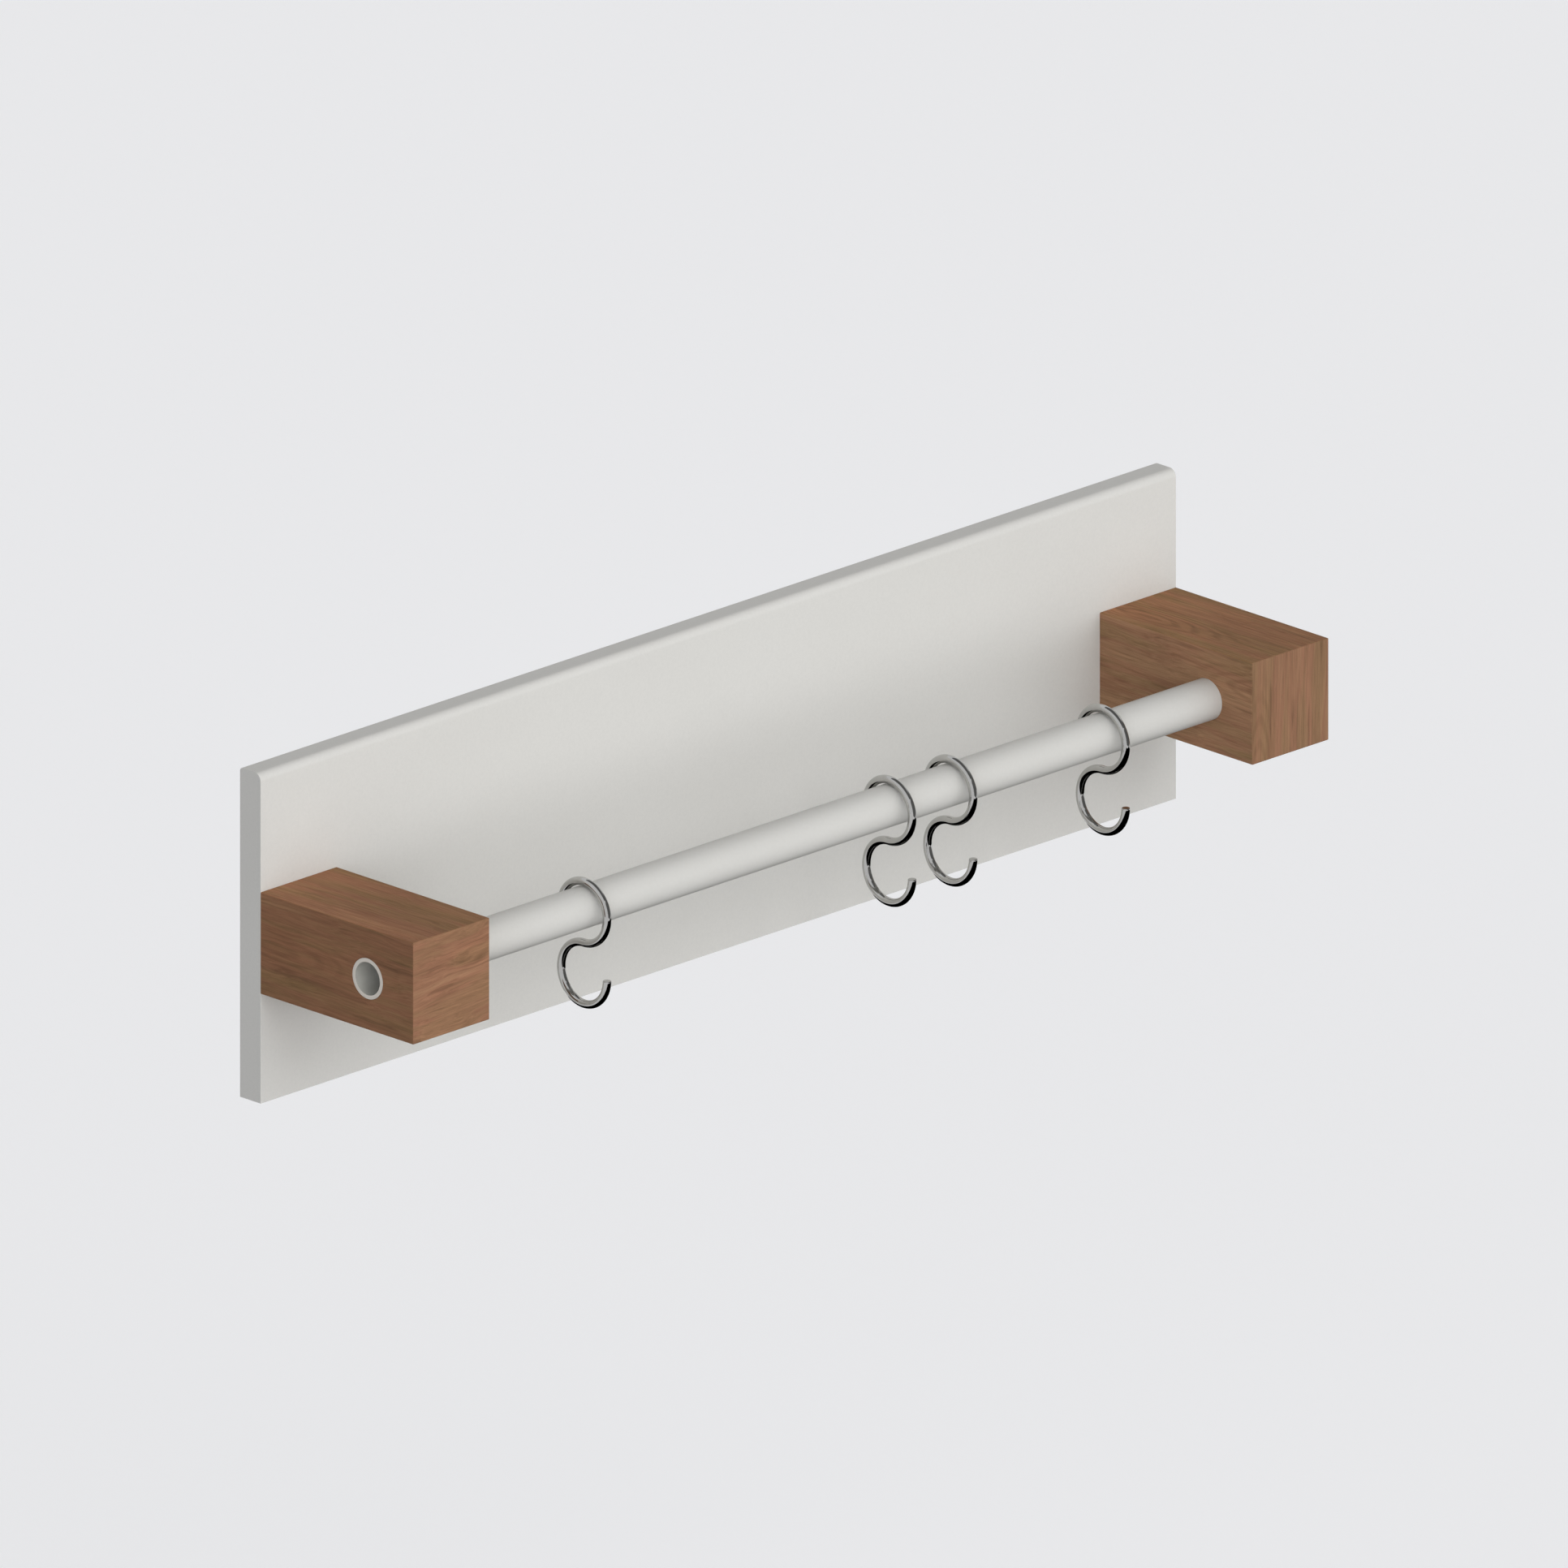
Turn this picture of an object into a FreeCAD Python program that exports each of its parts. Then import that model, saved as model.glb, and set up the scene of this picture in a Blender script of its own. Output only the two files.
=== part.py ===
"""Wall-hung kitchen utensil rail: a painted back board, two wooden end blocks, a tube and four S hooks.

The origin is the centre of the board's back face, where it lies on the wall.  X runs along the rail,
the wall is at +Y, the hooks are towards -Y, and Z is up.  All sizes are in millimetres.
"""

import FreeCAD, Part
import math
import os

import Sketcher
from FreeCAD import Placement, Rotation, Vector

# The settable sizes: name, value, and what it measures.
SIZES = (
    ("board_length", 600.0, "length of the back board, and of the whole rail"),
    ("board_height", 162.0, "height of the back board"),
    ("board_thickness", 13.7, "thickness of the back board"),
    ("board_front_round", 4.0, "radius along the board's front top edge"),
    ("board_back_round", 1.5, "radius along the board's back top edge"),
    ("block_width", 50.0, "size of an end block along the rail"),
    ("block_height", 50.0, "height of an end block"),
    ("block_depth", 100.0, "how far an end block stands out from the board"),
    ("block_rise", 54.0, "from the board's lower edge up to the blocks' underside"),
    ("block_edge_round", 0.4, "easing of a block's edges, apart from those against the board"),
    ("rail_diameter", 20.0, "outside diameter of the tube"),
    ("rail_wall", 2.0, "wall thickness of the tube"),
    ("rail_setback", 30.0, "from a block's front face back to the tube's axis"),
    ("rail_fit", 0.1, "clearance round the tube in the blocks' bores"),
    ("rail_end_break", 0.25, "chamfer on the tube's cut ends"),
    ("hook_wire", 4.0, "diameter of the hooks' wire"),
    ("hook_loop_slack", 6.0, "how much wider than the tube a hook's loops are inside"),
    ("hook_hang_gap", 0.3, "running clearance between a hook and the top of the tube"),
    ("hook_end_break", 0.3, "chamfer on the wire's cut ends"),
    ("hook_1_from_left_block", 92.0, "from the left block to the plane of hook 1"),
    ("hook_2_from_middle", 42.0, "from the board's middle to the plane of hook 2"),
    ("hook_3_from_middle", 82.0, "from the board's middle to the plane of hook 3"),
    ("hook_4_from_right_block", 68.0, "from the right block to the plane of hook 4"),
    ("block_screw_pitch", 26.0, "height between the two screws that hold a block"),
    ("block_screw_grip", 36.5, "how deep a block's screw goes into the block"),
    ("rail_screw_margin", 0.8, "how far a rail screw's end stays short of the tube's bore"),
    ("plate_screw_bite", 6.2, "how deep a plate's screw goes into the board"),
    ("plate_screw_spacing", 38.0, "height between a hanger plate's two screws"),
    ("screw_sink", 0.2, "how far a screw's head lies below the face that it is driven into"),
    ("hole_clearance", 0.2, "how much wider than a screw's thread its clearance hole is"),
    ("pilot_fit", 0.05, "clearance round a screw's shank in its pilot hole"),
    ("pilot_extra", 0.5, "how far a pilot hole goes past the screw's point"),
    ("hanger_spacing", 400.0, "distance between the two hanger plates"),
    ("hanger_drop", 31.0, "from the board's top edge down to the hanger plates' middle"),
    ("hanger_length", 50.0, "height of a hanger plate"),
    ("hanger_width", 18.0, "width of a hanger plate"),
    ("hanger_thickness", 2.0, "thickness of a hanger plate"),
    ("hanger_sink", 0.2, "how far a hanger plate lies below the board's back face"),
    ("hanger_fit", 0.2, "clearance round a hanger plate in its recess"),
    ("keyhole_entry", 10.0, "diameter of the hole that a wall screw's head goes through"),
    ("keyhole_slot", 5.0, "width of the slot that the wall screw's neck slides up"),
    ("keyhole_travel", 12.0, "from the entry's centre up to the slot's end centre"),
    ("head_pocket_width", 12.0, "width of the hollow behind a plate for the wall screw's head"),
    ("head_pocket_depth", 5.0, "depth of that hollow, measured from the plate"),
)

# The countersunk screws: diameters of thread, shank, head and point, and the head's cross recess.
SCREWS = {
    "block_screw": {
        "thread": 5.0,
        "shank": 3.6,
        "head": 9.4,
        "rim": 0.4,
        "taper": 6.0,
        "point": 0.6,
        "recess_span": 5.0,
        "recess_width": 1.2,
        "recess_depth": 2.4,
    },
    "rail_screw": {
        "thread": 3.5,
        "shank": 3.0,
        "head": 7.0,
        "rim": 0.3,
        "taper": 0.4,
        "point": 2.4,
        "recess_span": 4.0,
        "recess_width": 1.0,
        "recess_depth": 1.8,
    },
    "plate_screw": {
        "thread": 3.0,
        "shank": 2.4,
        "head": 5.6,
        "rim": 0.2,
        "taper": 2.5,
        "point": 0.4,
        "recess_span": 3.2,
        "recess_width": 0.8,
        "recess_depth": 1.2,
    },
}
COUNTERSINK_ANGLE = 90.0
RECESS_DRAFT = 6.0

# Places and lengths that follow from the sizes, as expressions.
BLOCK_X = "(Sizes.board_length - Sizes.block_width) / 2"
BLOCK_Z = "(Sizes.block_rise + Sizes.block_height / 2 - Sizes.board_height / 2)"
BLOCK_INNER_X = "(Sizes.board_length / 2 - Sizes.block_width)"
BOARD_FRONT_Y = "-Sizes.board_thickness"
RAIL_Y = "(Sizes.rail_setback - Sizes.board_thickness - Sizes.block_depth)"
BEND = "(Sizes.rail_diameter + Sizes.hook_loop_slack + Sizes.hook_wire) / 2"
HOOK_Z = (
    f"{BLOCK_Z} + Sizes.rail_diameter / 2 + Sizes.hook_hang_gap + Sizes.hook_wire / 2 - 2 * {BEND}"
)
HANGER_X = "Sizes.hanger_spacing / 2"
HANGER_Z = "(Sizes.board_height / 2 - Sizes.hanger_drop)"
BLOCK_SCREW_LENGTH = "(Sizes.board_thickness - Sizes.screw_sink + Sizes.block_screw_grip)"
RAIL_SCREW_LENGTH = (
    "(Sizes.block_height / 2 - Sizes.rail_diameter / 2 + Sizes.rail_wall"
    " - Sizes.rail_screw_margin - Sizes.screw_sink)"
)
PLATE_SCREW_LENGTH = "(Sizes.hanger_thickness - Sizes.screw_sink + Sizes.plate_screw_bite)"

SIDES = (("left", -1), ("right", 1))
LEVELS = (("upper", 1), ("lower", -1))
HOOKS = (
    ("hook_1", f"Sizes.hook_1_from_left_block - {BLOCK_INNER_X}"),
    ("hook_2", "Sizes.hook_2_from_middle"),
    ("hook_3", "Sizes.hook_3_from_middle"),
    ("hook_4", f"{BLOCK_INNER_X} - Sizes.hook_4_from_right_block"),
)

# Turns about X that point a screw's tip away from the wall, or up, and how near counts as equal.
FORWARD, UPWARD = -90.0, 180.0
NEAR = 1e-3

doc = FreeCAD.newDocument("UtensilRail")
sheet = doc.addObject("Spreadsheet::Sheet", "Sizes")


def fill_sheet():
    """Write every settable size to the sheet: its name, its value and what it measures."""
    rows = list(SIZES)
    for kind, screw in SCREWS.items():
        rows += [(f"{kind}_{size}", number, f"{kind} {size}") for size, number in screw.items()]
    for row, (name, number, meaning) in enumerate(rows, 1):
        sheet.set(f"A{row}", name)
        sheet.set(f"B{row}", str(number))
        sheet.set(f"C{row}", meaning)
        sheet.setAlias(f"B{row}", name)
    doc.recompute()


def value(expression):
    """The number that an expression over the sheet's sizes gives."""
    return float(sheet.evalExpression(expression))


def new_body(name, x="0", y="0", z="0", turn=0.0):
    """Start a sub-part, turned about X by so many degrees and placed by three expressions."""
    body = doc.addObject("PartDesign::Body", name)
    body.Label = name
    body.Placement = Placement(Vector(), Rotation(Vector(1, 0, 0), turn))
    for axis, expression in zip("xyz", (x, y, z)):
        body.setExpression(f"Placement.Base.{axis}", expression)
    return body


def new_sketch(body, plane_role, name, offset=None):
    """Start a sketch on one of the body's own planes, or parallel to it at an offset."""
    sketch = body.newObject("Sketcher::SketchObject", name)
    plane = next(item for item in body.Origin.OriginFeatures if item.Role == plane_role)
    sketch.AttachmentSupport = [(plane, "")]
    sketch.MapMode = "FlatFace"
    if offset:
        sketch.setExpression("AttachmentOffset.Base.z", offset)
    return sketch


def pin(sketch, geometry, point, across=None, up=None):
    """Hold a point of a sketch's geometry at its distances from the sketch's origin."""
    for kind, expression in (("DistanceX", across), ("DistanceY", up)):
        if expression:
            rule = Sketcher.Constraint(kind, -1, 1, geometry, point, value(expression))
            sketch.setExpression(f"Constraints[{sketch.addConstraint(rule)}]", expression)


def set_size(sketch, kind, geometry, expression):
    """Tie the radius or diameter of a sketch's circle or arc to an expression."""
    rule = Sketcher.Constraint(kind, geometry, value(expression))
    sketch.setExpression(f"Constraints[{sketch.addConstraint(rule)}]", expression)


def draw_circle(sketch, across, up, diameter):
    """Add a circle with its centre and diameter tied to expressions."""
    centre = Vector(value(across), value(up), 0)
    circle = sketch.addGeometry(Part.Circle(centre, Vector(0, 0, 1), value(diameter) / 2))
    pin(sketch, circle, 3, across, up)
    set_size(sketch, "Diameter", circle, diameter)


def draw_polygon(sketch, corners):
    """Add a closed polygon whose corners are pairs of expressions."""
    points = [Vector(value(across), value(up), 0) for across, up in corners]
    ends = points[1:] + points[:1]
    lines = [sketch.addGeometry(Part.LineSegment(*pair)) for pair in zip(points, ends)]
    for line, following in zip(lines, lines[1:] + lines[:1]):
        sketch.addConstraint(Sketcher.Constraint("Coincident", line, 2, following, 1))
    for line, (across, up) in zip(lines, corners):
        pin(sketch, line, 1, across, up)


def draw_rectangle(sketch, width, height):
    """Add a rectangle centred on the sketch's origin."""
    signs = ((-1, -1), (1, -1), (1, 1), (-1, 1))
    draw_polygon(sketch, [(f"{x} * {width} / 2", f"{y} * {height} / 2") for x, y in signs])


def draw_cross(sketch, span, width):
    """Add an upright cross centred on the sketch's origin, going round quarter by quarter."""
    arm, half = f"{span} / 2", f"{width} / 2"
    corners = []
    for x_sign, y_sign in ((1, 1), (-1, 1), (-1, -1), (1, -1)):
        quarter = [(arm, half), (half, half), (half, arm)]
        if x_sign != y_sign:
            quarter.reverse()
        corners += [(f"{x_sign} * {x}", f"{y_sign} * {y}") for x, y in quarter]
    draw_polygon(sketch, corners)


def draw_slot(sketch, across, low, high, width):
    """Add an upright slot with round ends, whose end centres are at two heights."""
    middle, radius = value(across), value(width) / 2
    ends = []
    for height, start in ((high, 0.0), (low, math.pi)):
        circle = Part.Circle(Vector(middle, value(height), 0), Vector(0, 0, 1), radius)
        ends.append(sketch.addGeometry(Part.ArcOfCircle(circle, start, start + math.pi)))
    sides = []
    for side, first, last in ((-1, high, low), (1, low, high)):
        points = [Vector(middle + side * radius, value(height), 0) for height in (first, last)]
        sides.append(sketch.addGeometry(Part.LineSegment(*points)))
    ring = (ends[0], sides[0], ends[1], sides[1])
    for before, after in zip(ring, ring[1:] + ring[:1]):
        sketch.addConstraint(Sketcher.Constraint("Tangent", before, 2, after, 1))
    for end, height in zip(ends, (high, low)):
        pin(sketch, end, 3, across, height)
    set_size(sketch, "Radius", ends[0], f"({width}) / 2")


def add_feature(body, kind, name, profile, **settings):
    """Add a feature made from a sketch, with its fixed settings given by name."""
    feature = body.newObject(f"PartDesign::{kind}", name)
    feature.Profile = profile
    for setting, content in settings.items():
        setattr(feature, setting, content)
    return feature


def add_pad(body, name, profile, length, **settings):
    """Raise a solid from a sketch to a length given by an expression."""
    pad = add_feature(body, "Pad", name, profile, **settings)
    pad.setExpression("Length", length)
    doc.recompute()
    return pad


def add_pocket(body, name, profile, depth, **settings):
    """Cut a sketch into the body to a depth given by an expression."""
    pocket = add_feature(body, "Pocket", name, profile, **settings)
    pocket.setExpression("Length", depth)
    doc.recompute()


def add_screw_holes(body, name, profile, kind, depth):
    """Cut countersunk clearance holes for one kind of screw, one at each circle of the sketch."""
    hole = add_feature(body, "Hole", name, profile)
    doc.recompute()
    hole.ThreadType = "None"
    hole.DepthType = "Dimension"
    hole.DrillPoint = "Flat"
    hole.HoleCutType = "Countersink"
    hole.HoleCutCustomValues = True
    hole.HoleCutCountersinkAngle = COUNTERSINK_ANGLE
    hole.Reversed = True
    mouth = f"Sizes.{kind}_head + 2 * (Sizes.{kind}_rim + Sizes.screw_sink)"
    hole.setExpression("HoleCutDiameter", mouth)
    hole.setExpression("Diameter", f"Sizes.{kind}_thread + Sizes.hole_clearance")
    hole.setExpression("Depth", depth)
    doc.recompute()


def dress_edges(body, kind, name, base, chosen, size_name, size):
    """Round or chamfer the edges of a feature that pass a test."""
    names = [f"Edge{index}" for index, edge in enumerate(base.Shape.Edges, 1) if chosen(edge)]
    feature = body.newObject(f"PartDesign::{kind}", name)
    feature.Base = (base, names)
    feature.setExpression(size_name, size)
    doc.recompute()
    return feature


def draw_circles(body, plane_role, name, places, diameter, offset=None):
    """A sketch of equal circles, centred at pairs of expressions."""
    sketch = new_sketch(body, plane_role, name, offset)
    for across, up in places:
        draw_circle(sketch, across, up, diameter)
    return sketch


def pilot_size(kind):
    """The diameter of a pilot hole for one kind of screw, as an expression."""
    return f"Sizes.{kind}_shank + 2 * Sizes.pilot_fit"


def add_board():
    """The painted back board, with its screw holes and the recesses for the hanger plates."""
    body = new_body("back_board")
    outline = new_sketch(body, "XZ_Plane", "board_outline")
    draw_rectangle(outline, "Sizes.board_length", "Sizes.board_height")
    panel = add_pad(body, "board_panel", outline, "Sizes.board_thickness")
    rounded = panel
    for place, depth in (("front", value("Sizes.board_thickness")), ("back", 0.0)):
        middle = Vector(0, -depth, value("Sizes.board_height / 2"))
        rounded = dress_edges(
            body,
            "Fillet",
            f"board_{place}_edge",
            rounded,
            lambda edge: edge.CenterOfMass.distanceToPoint(middle) < NEAR,
            "Radius",
            f"Sizes.board_{place}_round",
        )

    places = [
        (f"{side} * {BLOCK_X}", f"{BLOCK_Z} + {level} * Sizes.block_screw_pitch / 2")
        for _, side in SIDES
        for _, level in LEVELS
    ]
    holes = draw_circles(body, "XZ_Plane", "block_screw_places", places, "Sizes.block_screw_thread")
    through = "2 * Sizes.board_thickness"
    add_screw_holes(body, "block_screw_holes", holes, "block_screw", through)

    recesses = new_sketch(body, "XZ_Plane", "hanger_recess_outline")
    pockets = new_sketch(body, "XZ_Plane", "head_pocket_outline")
    for _, side in SIDES:
        across = f"{side} * {HANGER_X}"
        low, high = (
            f"{HANGER_Z} + {level} * (Sizes.hanger_length - Sizes.hanger_width) / 2"
            for level in (-1, 1)
        )
        draw_slot(recesses, across, low, high, "Sizes.hanger_width + 2 * Sizes.hanger_fit")
        low, high = (f"{HANGER_Z} + {level} * Sizes.keyhole_travel / 2" for level in (-1, 1))
        draw_slot(pockets, across, low, high, "Sizes.head_pocket_width")
    floor = "Sizes.hanger_sink + Sizes.hanger_thickness"
    add_pocket(body, "hanger_recesses", recesses, floor, Reversed=True)
    head_room = f"{floor} + Sizes.head_pocket_depth"
    add_pocket(body, "head_pockets", pockets, head_room, Reversed=True)

    places = [
        (f"{side} * {HANGER_X}", f"{HANGER_Z} + {level} * Sizes.plate_screw_spacing / 2")
        for _, side in SIDES
        for _, level in LEVELS
    ]
    pilots = draw_circles(body, "XZ_Plane", "plate_screw_places", places, pilot_size("plate_screw"))
    pilot_depth = f"{floor} + Sizes.plate_screw_bite + Sizes.pilot_extra"
    add_pocket(body, "plate_screw_pilots", pilots, pilot_depth, Reversed=True)
    return body


def add_block(name, side):
    """A wooden end block, bored for the tube, with pilot holes at the back and a screw hole below."""
    body = new_body(name, f"{side} * {BLOCK_X}", BOARD_FRONT_Y, BLOCK_Z)
    outline = new_sketch(body, "XZ_Plane", f"{name}_outline")
    draw_rectangle(outline, "Sizes.block_width", "Sizes.block_height")
    blank = add_pad(body, f"{name}_blank", outline, "Sizes.block_depth")
    dress_edges(
        body,
        "Fillet",
        f"{name}_eased",
        blank,
        lambda edge: edge.CenterOfMass.y < -NEAR,
        "Radius",
        "Sizes.block_edge_round",
    )

    bore_y = "Sizes.rail_setback - Sizes.block_depth"
    bore_size = "Sizes.rail_diameter + 2 * Sizes.rail_fit"
    bore = draw_circles(body, "YZ_Plane", f"{name}_bore_outline", [(bore_y, "0")], bore_size)
    add_pocket(body, f"{name}_bore", bore, "2 * Sizes.block_width", Midplane=True)

    places = [("0", f"{level} * Sizes.block_screw_pitch / 2") for _, level in LEVELS]
    pilots = draw_circles(
        body, "XZ_Plane", f"{name}_pilot_places", places, pilot_size("block_screw")
    )
    pilot_depth = "Sizes.block_screw_grip + Sizes.pilot_extra"
    add_pocket(body, f"{name}_pilots", pilots, pilot_depth, Reversed=True)

    below = draw_circles(
        body,
        "XY_Plane",
        f"{name}_rail_screw_place",
        [("0", bore_y)],
        "Sizes.rail_screw_thread",
        offset="-Sizes.block_height / 2",
    )
    to_bore = "Sizes.block_height / 2"
    add_screw_holes(body, f"{name}_rail_screw_hole", below, "rail_screw", to_bore)
    return body


def add_rail():
    """The tube, flush with both blocks' outer faces, drilled below where its screws hold it."""
    body = new_body("rail_tube", "0", RAIL_Y, BLOCK_Z)
    section = new_sketch(body, "YZ_Plane", "rail_section")
    draw_circle(section, "0", "0", "Sizes.rail_diameter")
    draw_circle(section, "0", "0", "Sizes.rail_diameter - 2 * Sizes.rail_wall")
    tube = add_pad(body, "rail_length", section, "Sizes.board_length", Midplane=True)
    end = value("Sizes.board_length / 2")
    dress_edges(
        body,
        "Chamfer",
        "rail_ends",
        tube,
        lambda edge: abs(abs(edge.CenterOfMass.x) - end) < NEAR,
        "Size",
        "Sizes.rail_end_break",
    )
    places = [(f"{side} * {BLOCK_X}", "0") for _, side in SIDES]
    holes = draw_circles(body, "XY_Plane", "rail_screw_places", places, pilot_size("rail_screw"))
    add_pocket(body, "rail_screw_holes", holes, "Sizes.rail_diameter")
    return body


def add_hook(name, place):
    """An S hook bent from one wire: a three-quarter loop round the tube and one for a utensil.

    The wire starts behind the tube, goes over its top and round its front to the middle of the S, and
    then down the back of the lower loop, under it and up to the tip at the front.
    """
    body = new_body(name, place, RAIL_Y, HOOK_Z)
    bend = value(BEND)
    line = new_sketch(body, "YZ_Plane", f"{name}_line")
    for way, start in ((1, 0.0), (-1, math.pi)):
        circle = Part.Circle(Vector(0, way * bend, 0), Vector(0, 0, 1), bend)
        loop = line.addGeometry(Part.ArcOfCircle(circle, start, start + 1.5 * math.pi))
        height = f"{way} * {BEND}"
        pin(line, loop, 3, "0", height)
        line.addConstraint(Sketcher.Constraint("Coincident", loop, 2, -1, 1))
        pin(line, loop, 1, up=height)
    section = new_sketch(body, "XY_Plane", f"{name}_section", offset=BEND)
    draw_circle(section, "0", BEND, "Sizes.hook_wire")
    doc.recompute()
    wire = add_feature(body, "AdditivePipe", f"{name}_wire", section, Spine=line)
    doc.recompute()
    true_volume = math.pi * value("Sizes.hook_wire / 2") ** 2 * 3 * math.pi * bend
    if abs(wire.Shape.Volume - true_volume) > NEAR * true_volume:
        raise RuntimeError(f"{name}: the wire's volume isn't its section times its length")
    dress_edges(
        body,
        "Chamfer",
        f"{name}_ends",
        wire,
        lambda edge: abs(abs(edge.CenterOfMass.y) - bend) < NEAR and edge.BoundBox.ZLength < NEAR,
        "Size",
        "Sizes.hook_end_break",
    )
    return body


def add_screw(name, kind, length, x, y, z, turn):
    """A countersunk screw with a cross recess: its head's top at its place, its shank behind that."""
    body = new_body(name, x, y, z, turn)
    size = {part: f"Sizes.{kind}_{part}" for part in SCREWS[kind]}
    cone_end = f"-({size['rim']} + ({size['head']} - {size['shank']}) / 2)"
    profile = new_sketch(body, "XZ_Plane", f"{name}_profile")
    corners = [
        ("0", "0"),
        (f"{size['head']} / 2", "0"),
        (f"{size['head']} / 2", f"-{size['rim']}"),
        (f"{size['shank']} / 2", cone_end),
        (f"{size['shank']} / 2", f"{size['taper']} - {length}"),
        (f"{size['point']} / 2", f"-{length}"),
        ("0", f"-{length}"),
    ]
    draw_polygon(profile, corners)
    add_feature(body, "Revolution", f"{name}_turned", profile, ReferenceAxis=(profile, ["V_Axis"]))
    doc.recompute()
    cross = new_sketch(body, "XY_Plane", f"{name}_recess_outline")
    draw_cross(cross, size["recess_span"], size["recess_width"])
    add_pocket(body, f"{name}_recess", cross, size["recess_depth"], TaperAngle=-RECESS_DRAFT)
    return body


def add_hanger_plate(name, side):
    """A steel plate let into the board's back, with a keyhole for a screw in the wall."""
    body = new_body(name, f"{side} * {HANGER_X}", "-Sizes.hanger_sink", HANGER_Z)
    outline = new_sketch(body, "XZ_Plane", f"{name}_outline")
    low, high = (
        f"{level} * (Sizes.hanger_length - Sizes.hanger_width) / 2" for level in (-1, 1)
    )
    draw_slot(outline, "0", low, high, "Sizes.hanger_width")
    add_pad(body, f"{name}_plate", outline, "Sizes.hanger_thickness")

    low, high = (f"{level} * Sizes.keyhole_travel / 2" for level in (-1, 1))
    through = "2 * Sizes.hanger_thickness"
    entry = draw_circles(
        body, "XZ_Plane", f"{name}_entry_outline", [("0", low)], "Sizes.keyhole_entry"
    )
    add_pocket(body, f"{name}_entry", entry, through, Reversed=True)
    slot = new_sketch(body, "XZ_Plane", f"{name}_slot_outline")
    draw_slot(slot, "0", low, high, "Sizes.keyhole_slot")
    add_pocket(body, f"{name}_slot", slot, through, Reversed=True)

    places = [("0", f"{level} * Sizes.plate_screw_spacing / 2") for _, level in LEVELS]
    holes = draw_circles(
        body, "XZ_Plane", f"{name}_screw_places", places, "Sizes.plate_screw_thread"
    )
    add_screw_holes(body, f"{name}_screw_holes", holes, "plate_screw", through)
    return body


def add_screws():
    """The screws that hold the blocks, the tube and the hanger plates."""
    screws = []
    for side_name, side in SIDES:
        for level_name, level in LEVELS:
            name = f"block_screw_{side_name}_{level_name}"
            height = f"{BLOCK_Z} + {level} * Sizes.block_screw_pitch / 2"
            place = (f"{side} * {BLOCK_X}", "-Sizes.screw_sink", height)
            screws.append(add_screw(name, "block_screw", BLOCK_SCREW_LENGTH, *place, FORWARD))
    for side_name, side in SIDES:
        name = f"rail_screw_{side_name}"
        height = f"{BLOCK_Z} - Sizes.block_height / 2 + Sizes.screw_sink"
        place = (f"{side} * {BLOCK_X}", RAIL_Y, height)
        screws.append(add_screw(name, "rail_screw", RAIL_SCREW_LENGTH, *place, UPWARD))
    for side_name, side in SIDES:
        for level_name, level in LEVELS:
            name = f"plate_screw_{side_name}_{level_name}"
            height = f"{HANGER_Z} + {level} * Sizes.plate_screw_spacing / 2"
            place = (f"{side} * {HANGER_X}", "-(Sizes.hanger_sink + Sizes.screw_sink)", height)
            screws.append(add_screw(name, "plate_screw", PLATE_SCREW_LENGTH, *place, FORWARD))
    return screws


def check_document(parts):
    """Stop if any feature failed, any cut removed nothing, or any sub-part isn't one sound solid."""
    doc.recompute()
    for item in doc.Objects:
        if {"Invalid", "Error"} & set(item.State):
            raise RuntimeError(f"{item.Name} failed: {item.State}")
        if item.TypeId in ("PartDesign::Pocket", "PartDesign::Hole"):
            if item.Shape.Volume > item.BaseFeature.Shape.Volume - NEAR:
                raise RuntimeError(f"{item.Name} cuts nothing")
    for part in parts:
        shape = part.Shape
        if shape.isNull() or not shape.isValid() or len(shape.Solids) != 1:
            raise RuntimeError(f"{part.Label} isn't one sound solid")


def export(parts):
    """Write each sub-part to a STEP file of its own name."""
    os.makedirs("parts", exist_ok=True)
    for part in parts:
        part.Shape.exportStep(f"parts/{part.Label}.step")
        box = part.Shape.BoundBox
        print(
            f"{part.Label:26s} {part.Shape.Volume:12.2f} mm3"
            f"  x {box.XMin:8.2f} {box.XMax:8.2f}  y {box.YMin:8.2f} {box.YMax:8.2f}"
            f"  z {box.ZMin:8.2f} {box.ZMax:8.2f}"
        )


fill_sheet()
parts = [add_board()]
parts += [add_block(f"block_{side_name}", side) for side_name, side in SIDES]
parts.append(add_rail())
parts += [add_hook(name, place) for name, place in HOOKS]
parts += [add_hanger_plate(f"hanger_plate_{side_name}", side) for side_name, side in SIDES]
parts += add_screws()
check_document(parts)
export(parts)
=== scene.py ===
"""Dresses the kitchen utensil rail and sets it in a studio.

A painted board carries two wooden end blocks.  They hold a painted tube, and four chrome S hooks
slide along it.  Lengths are in metres, in the frame of the solids: X runs along the tube, the wall is
at +Y, Z is up, and the origin is the centre of the board's back face.
"""

import logging
import math
from collections.abc import Callable, Iterable, Sequence
from dataclasses import dataclass
from enum import Enum

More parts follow.
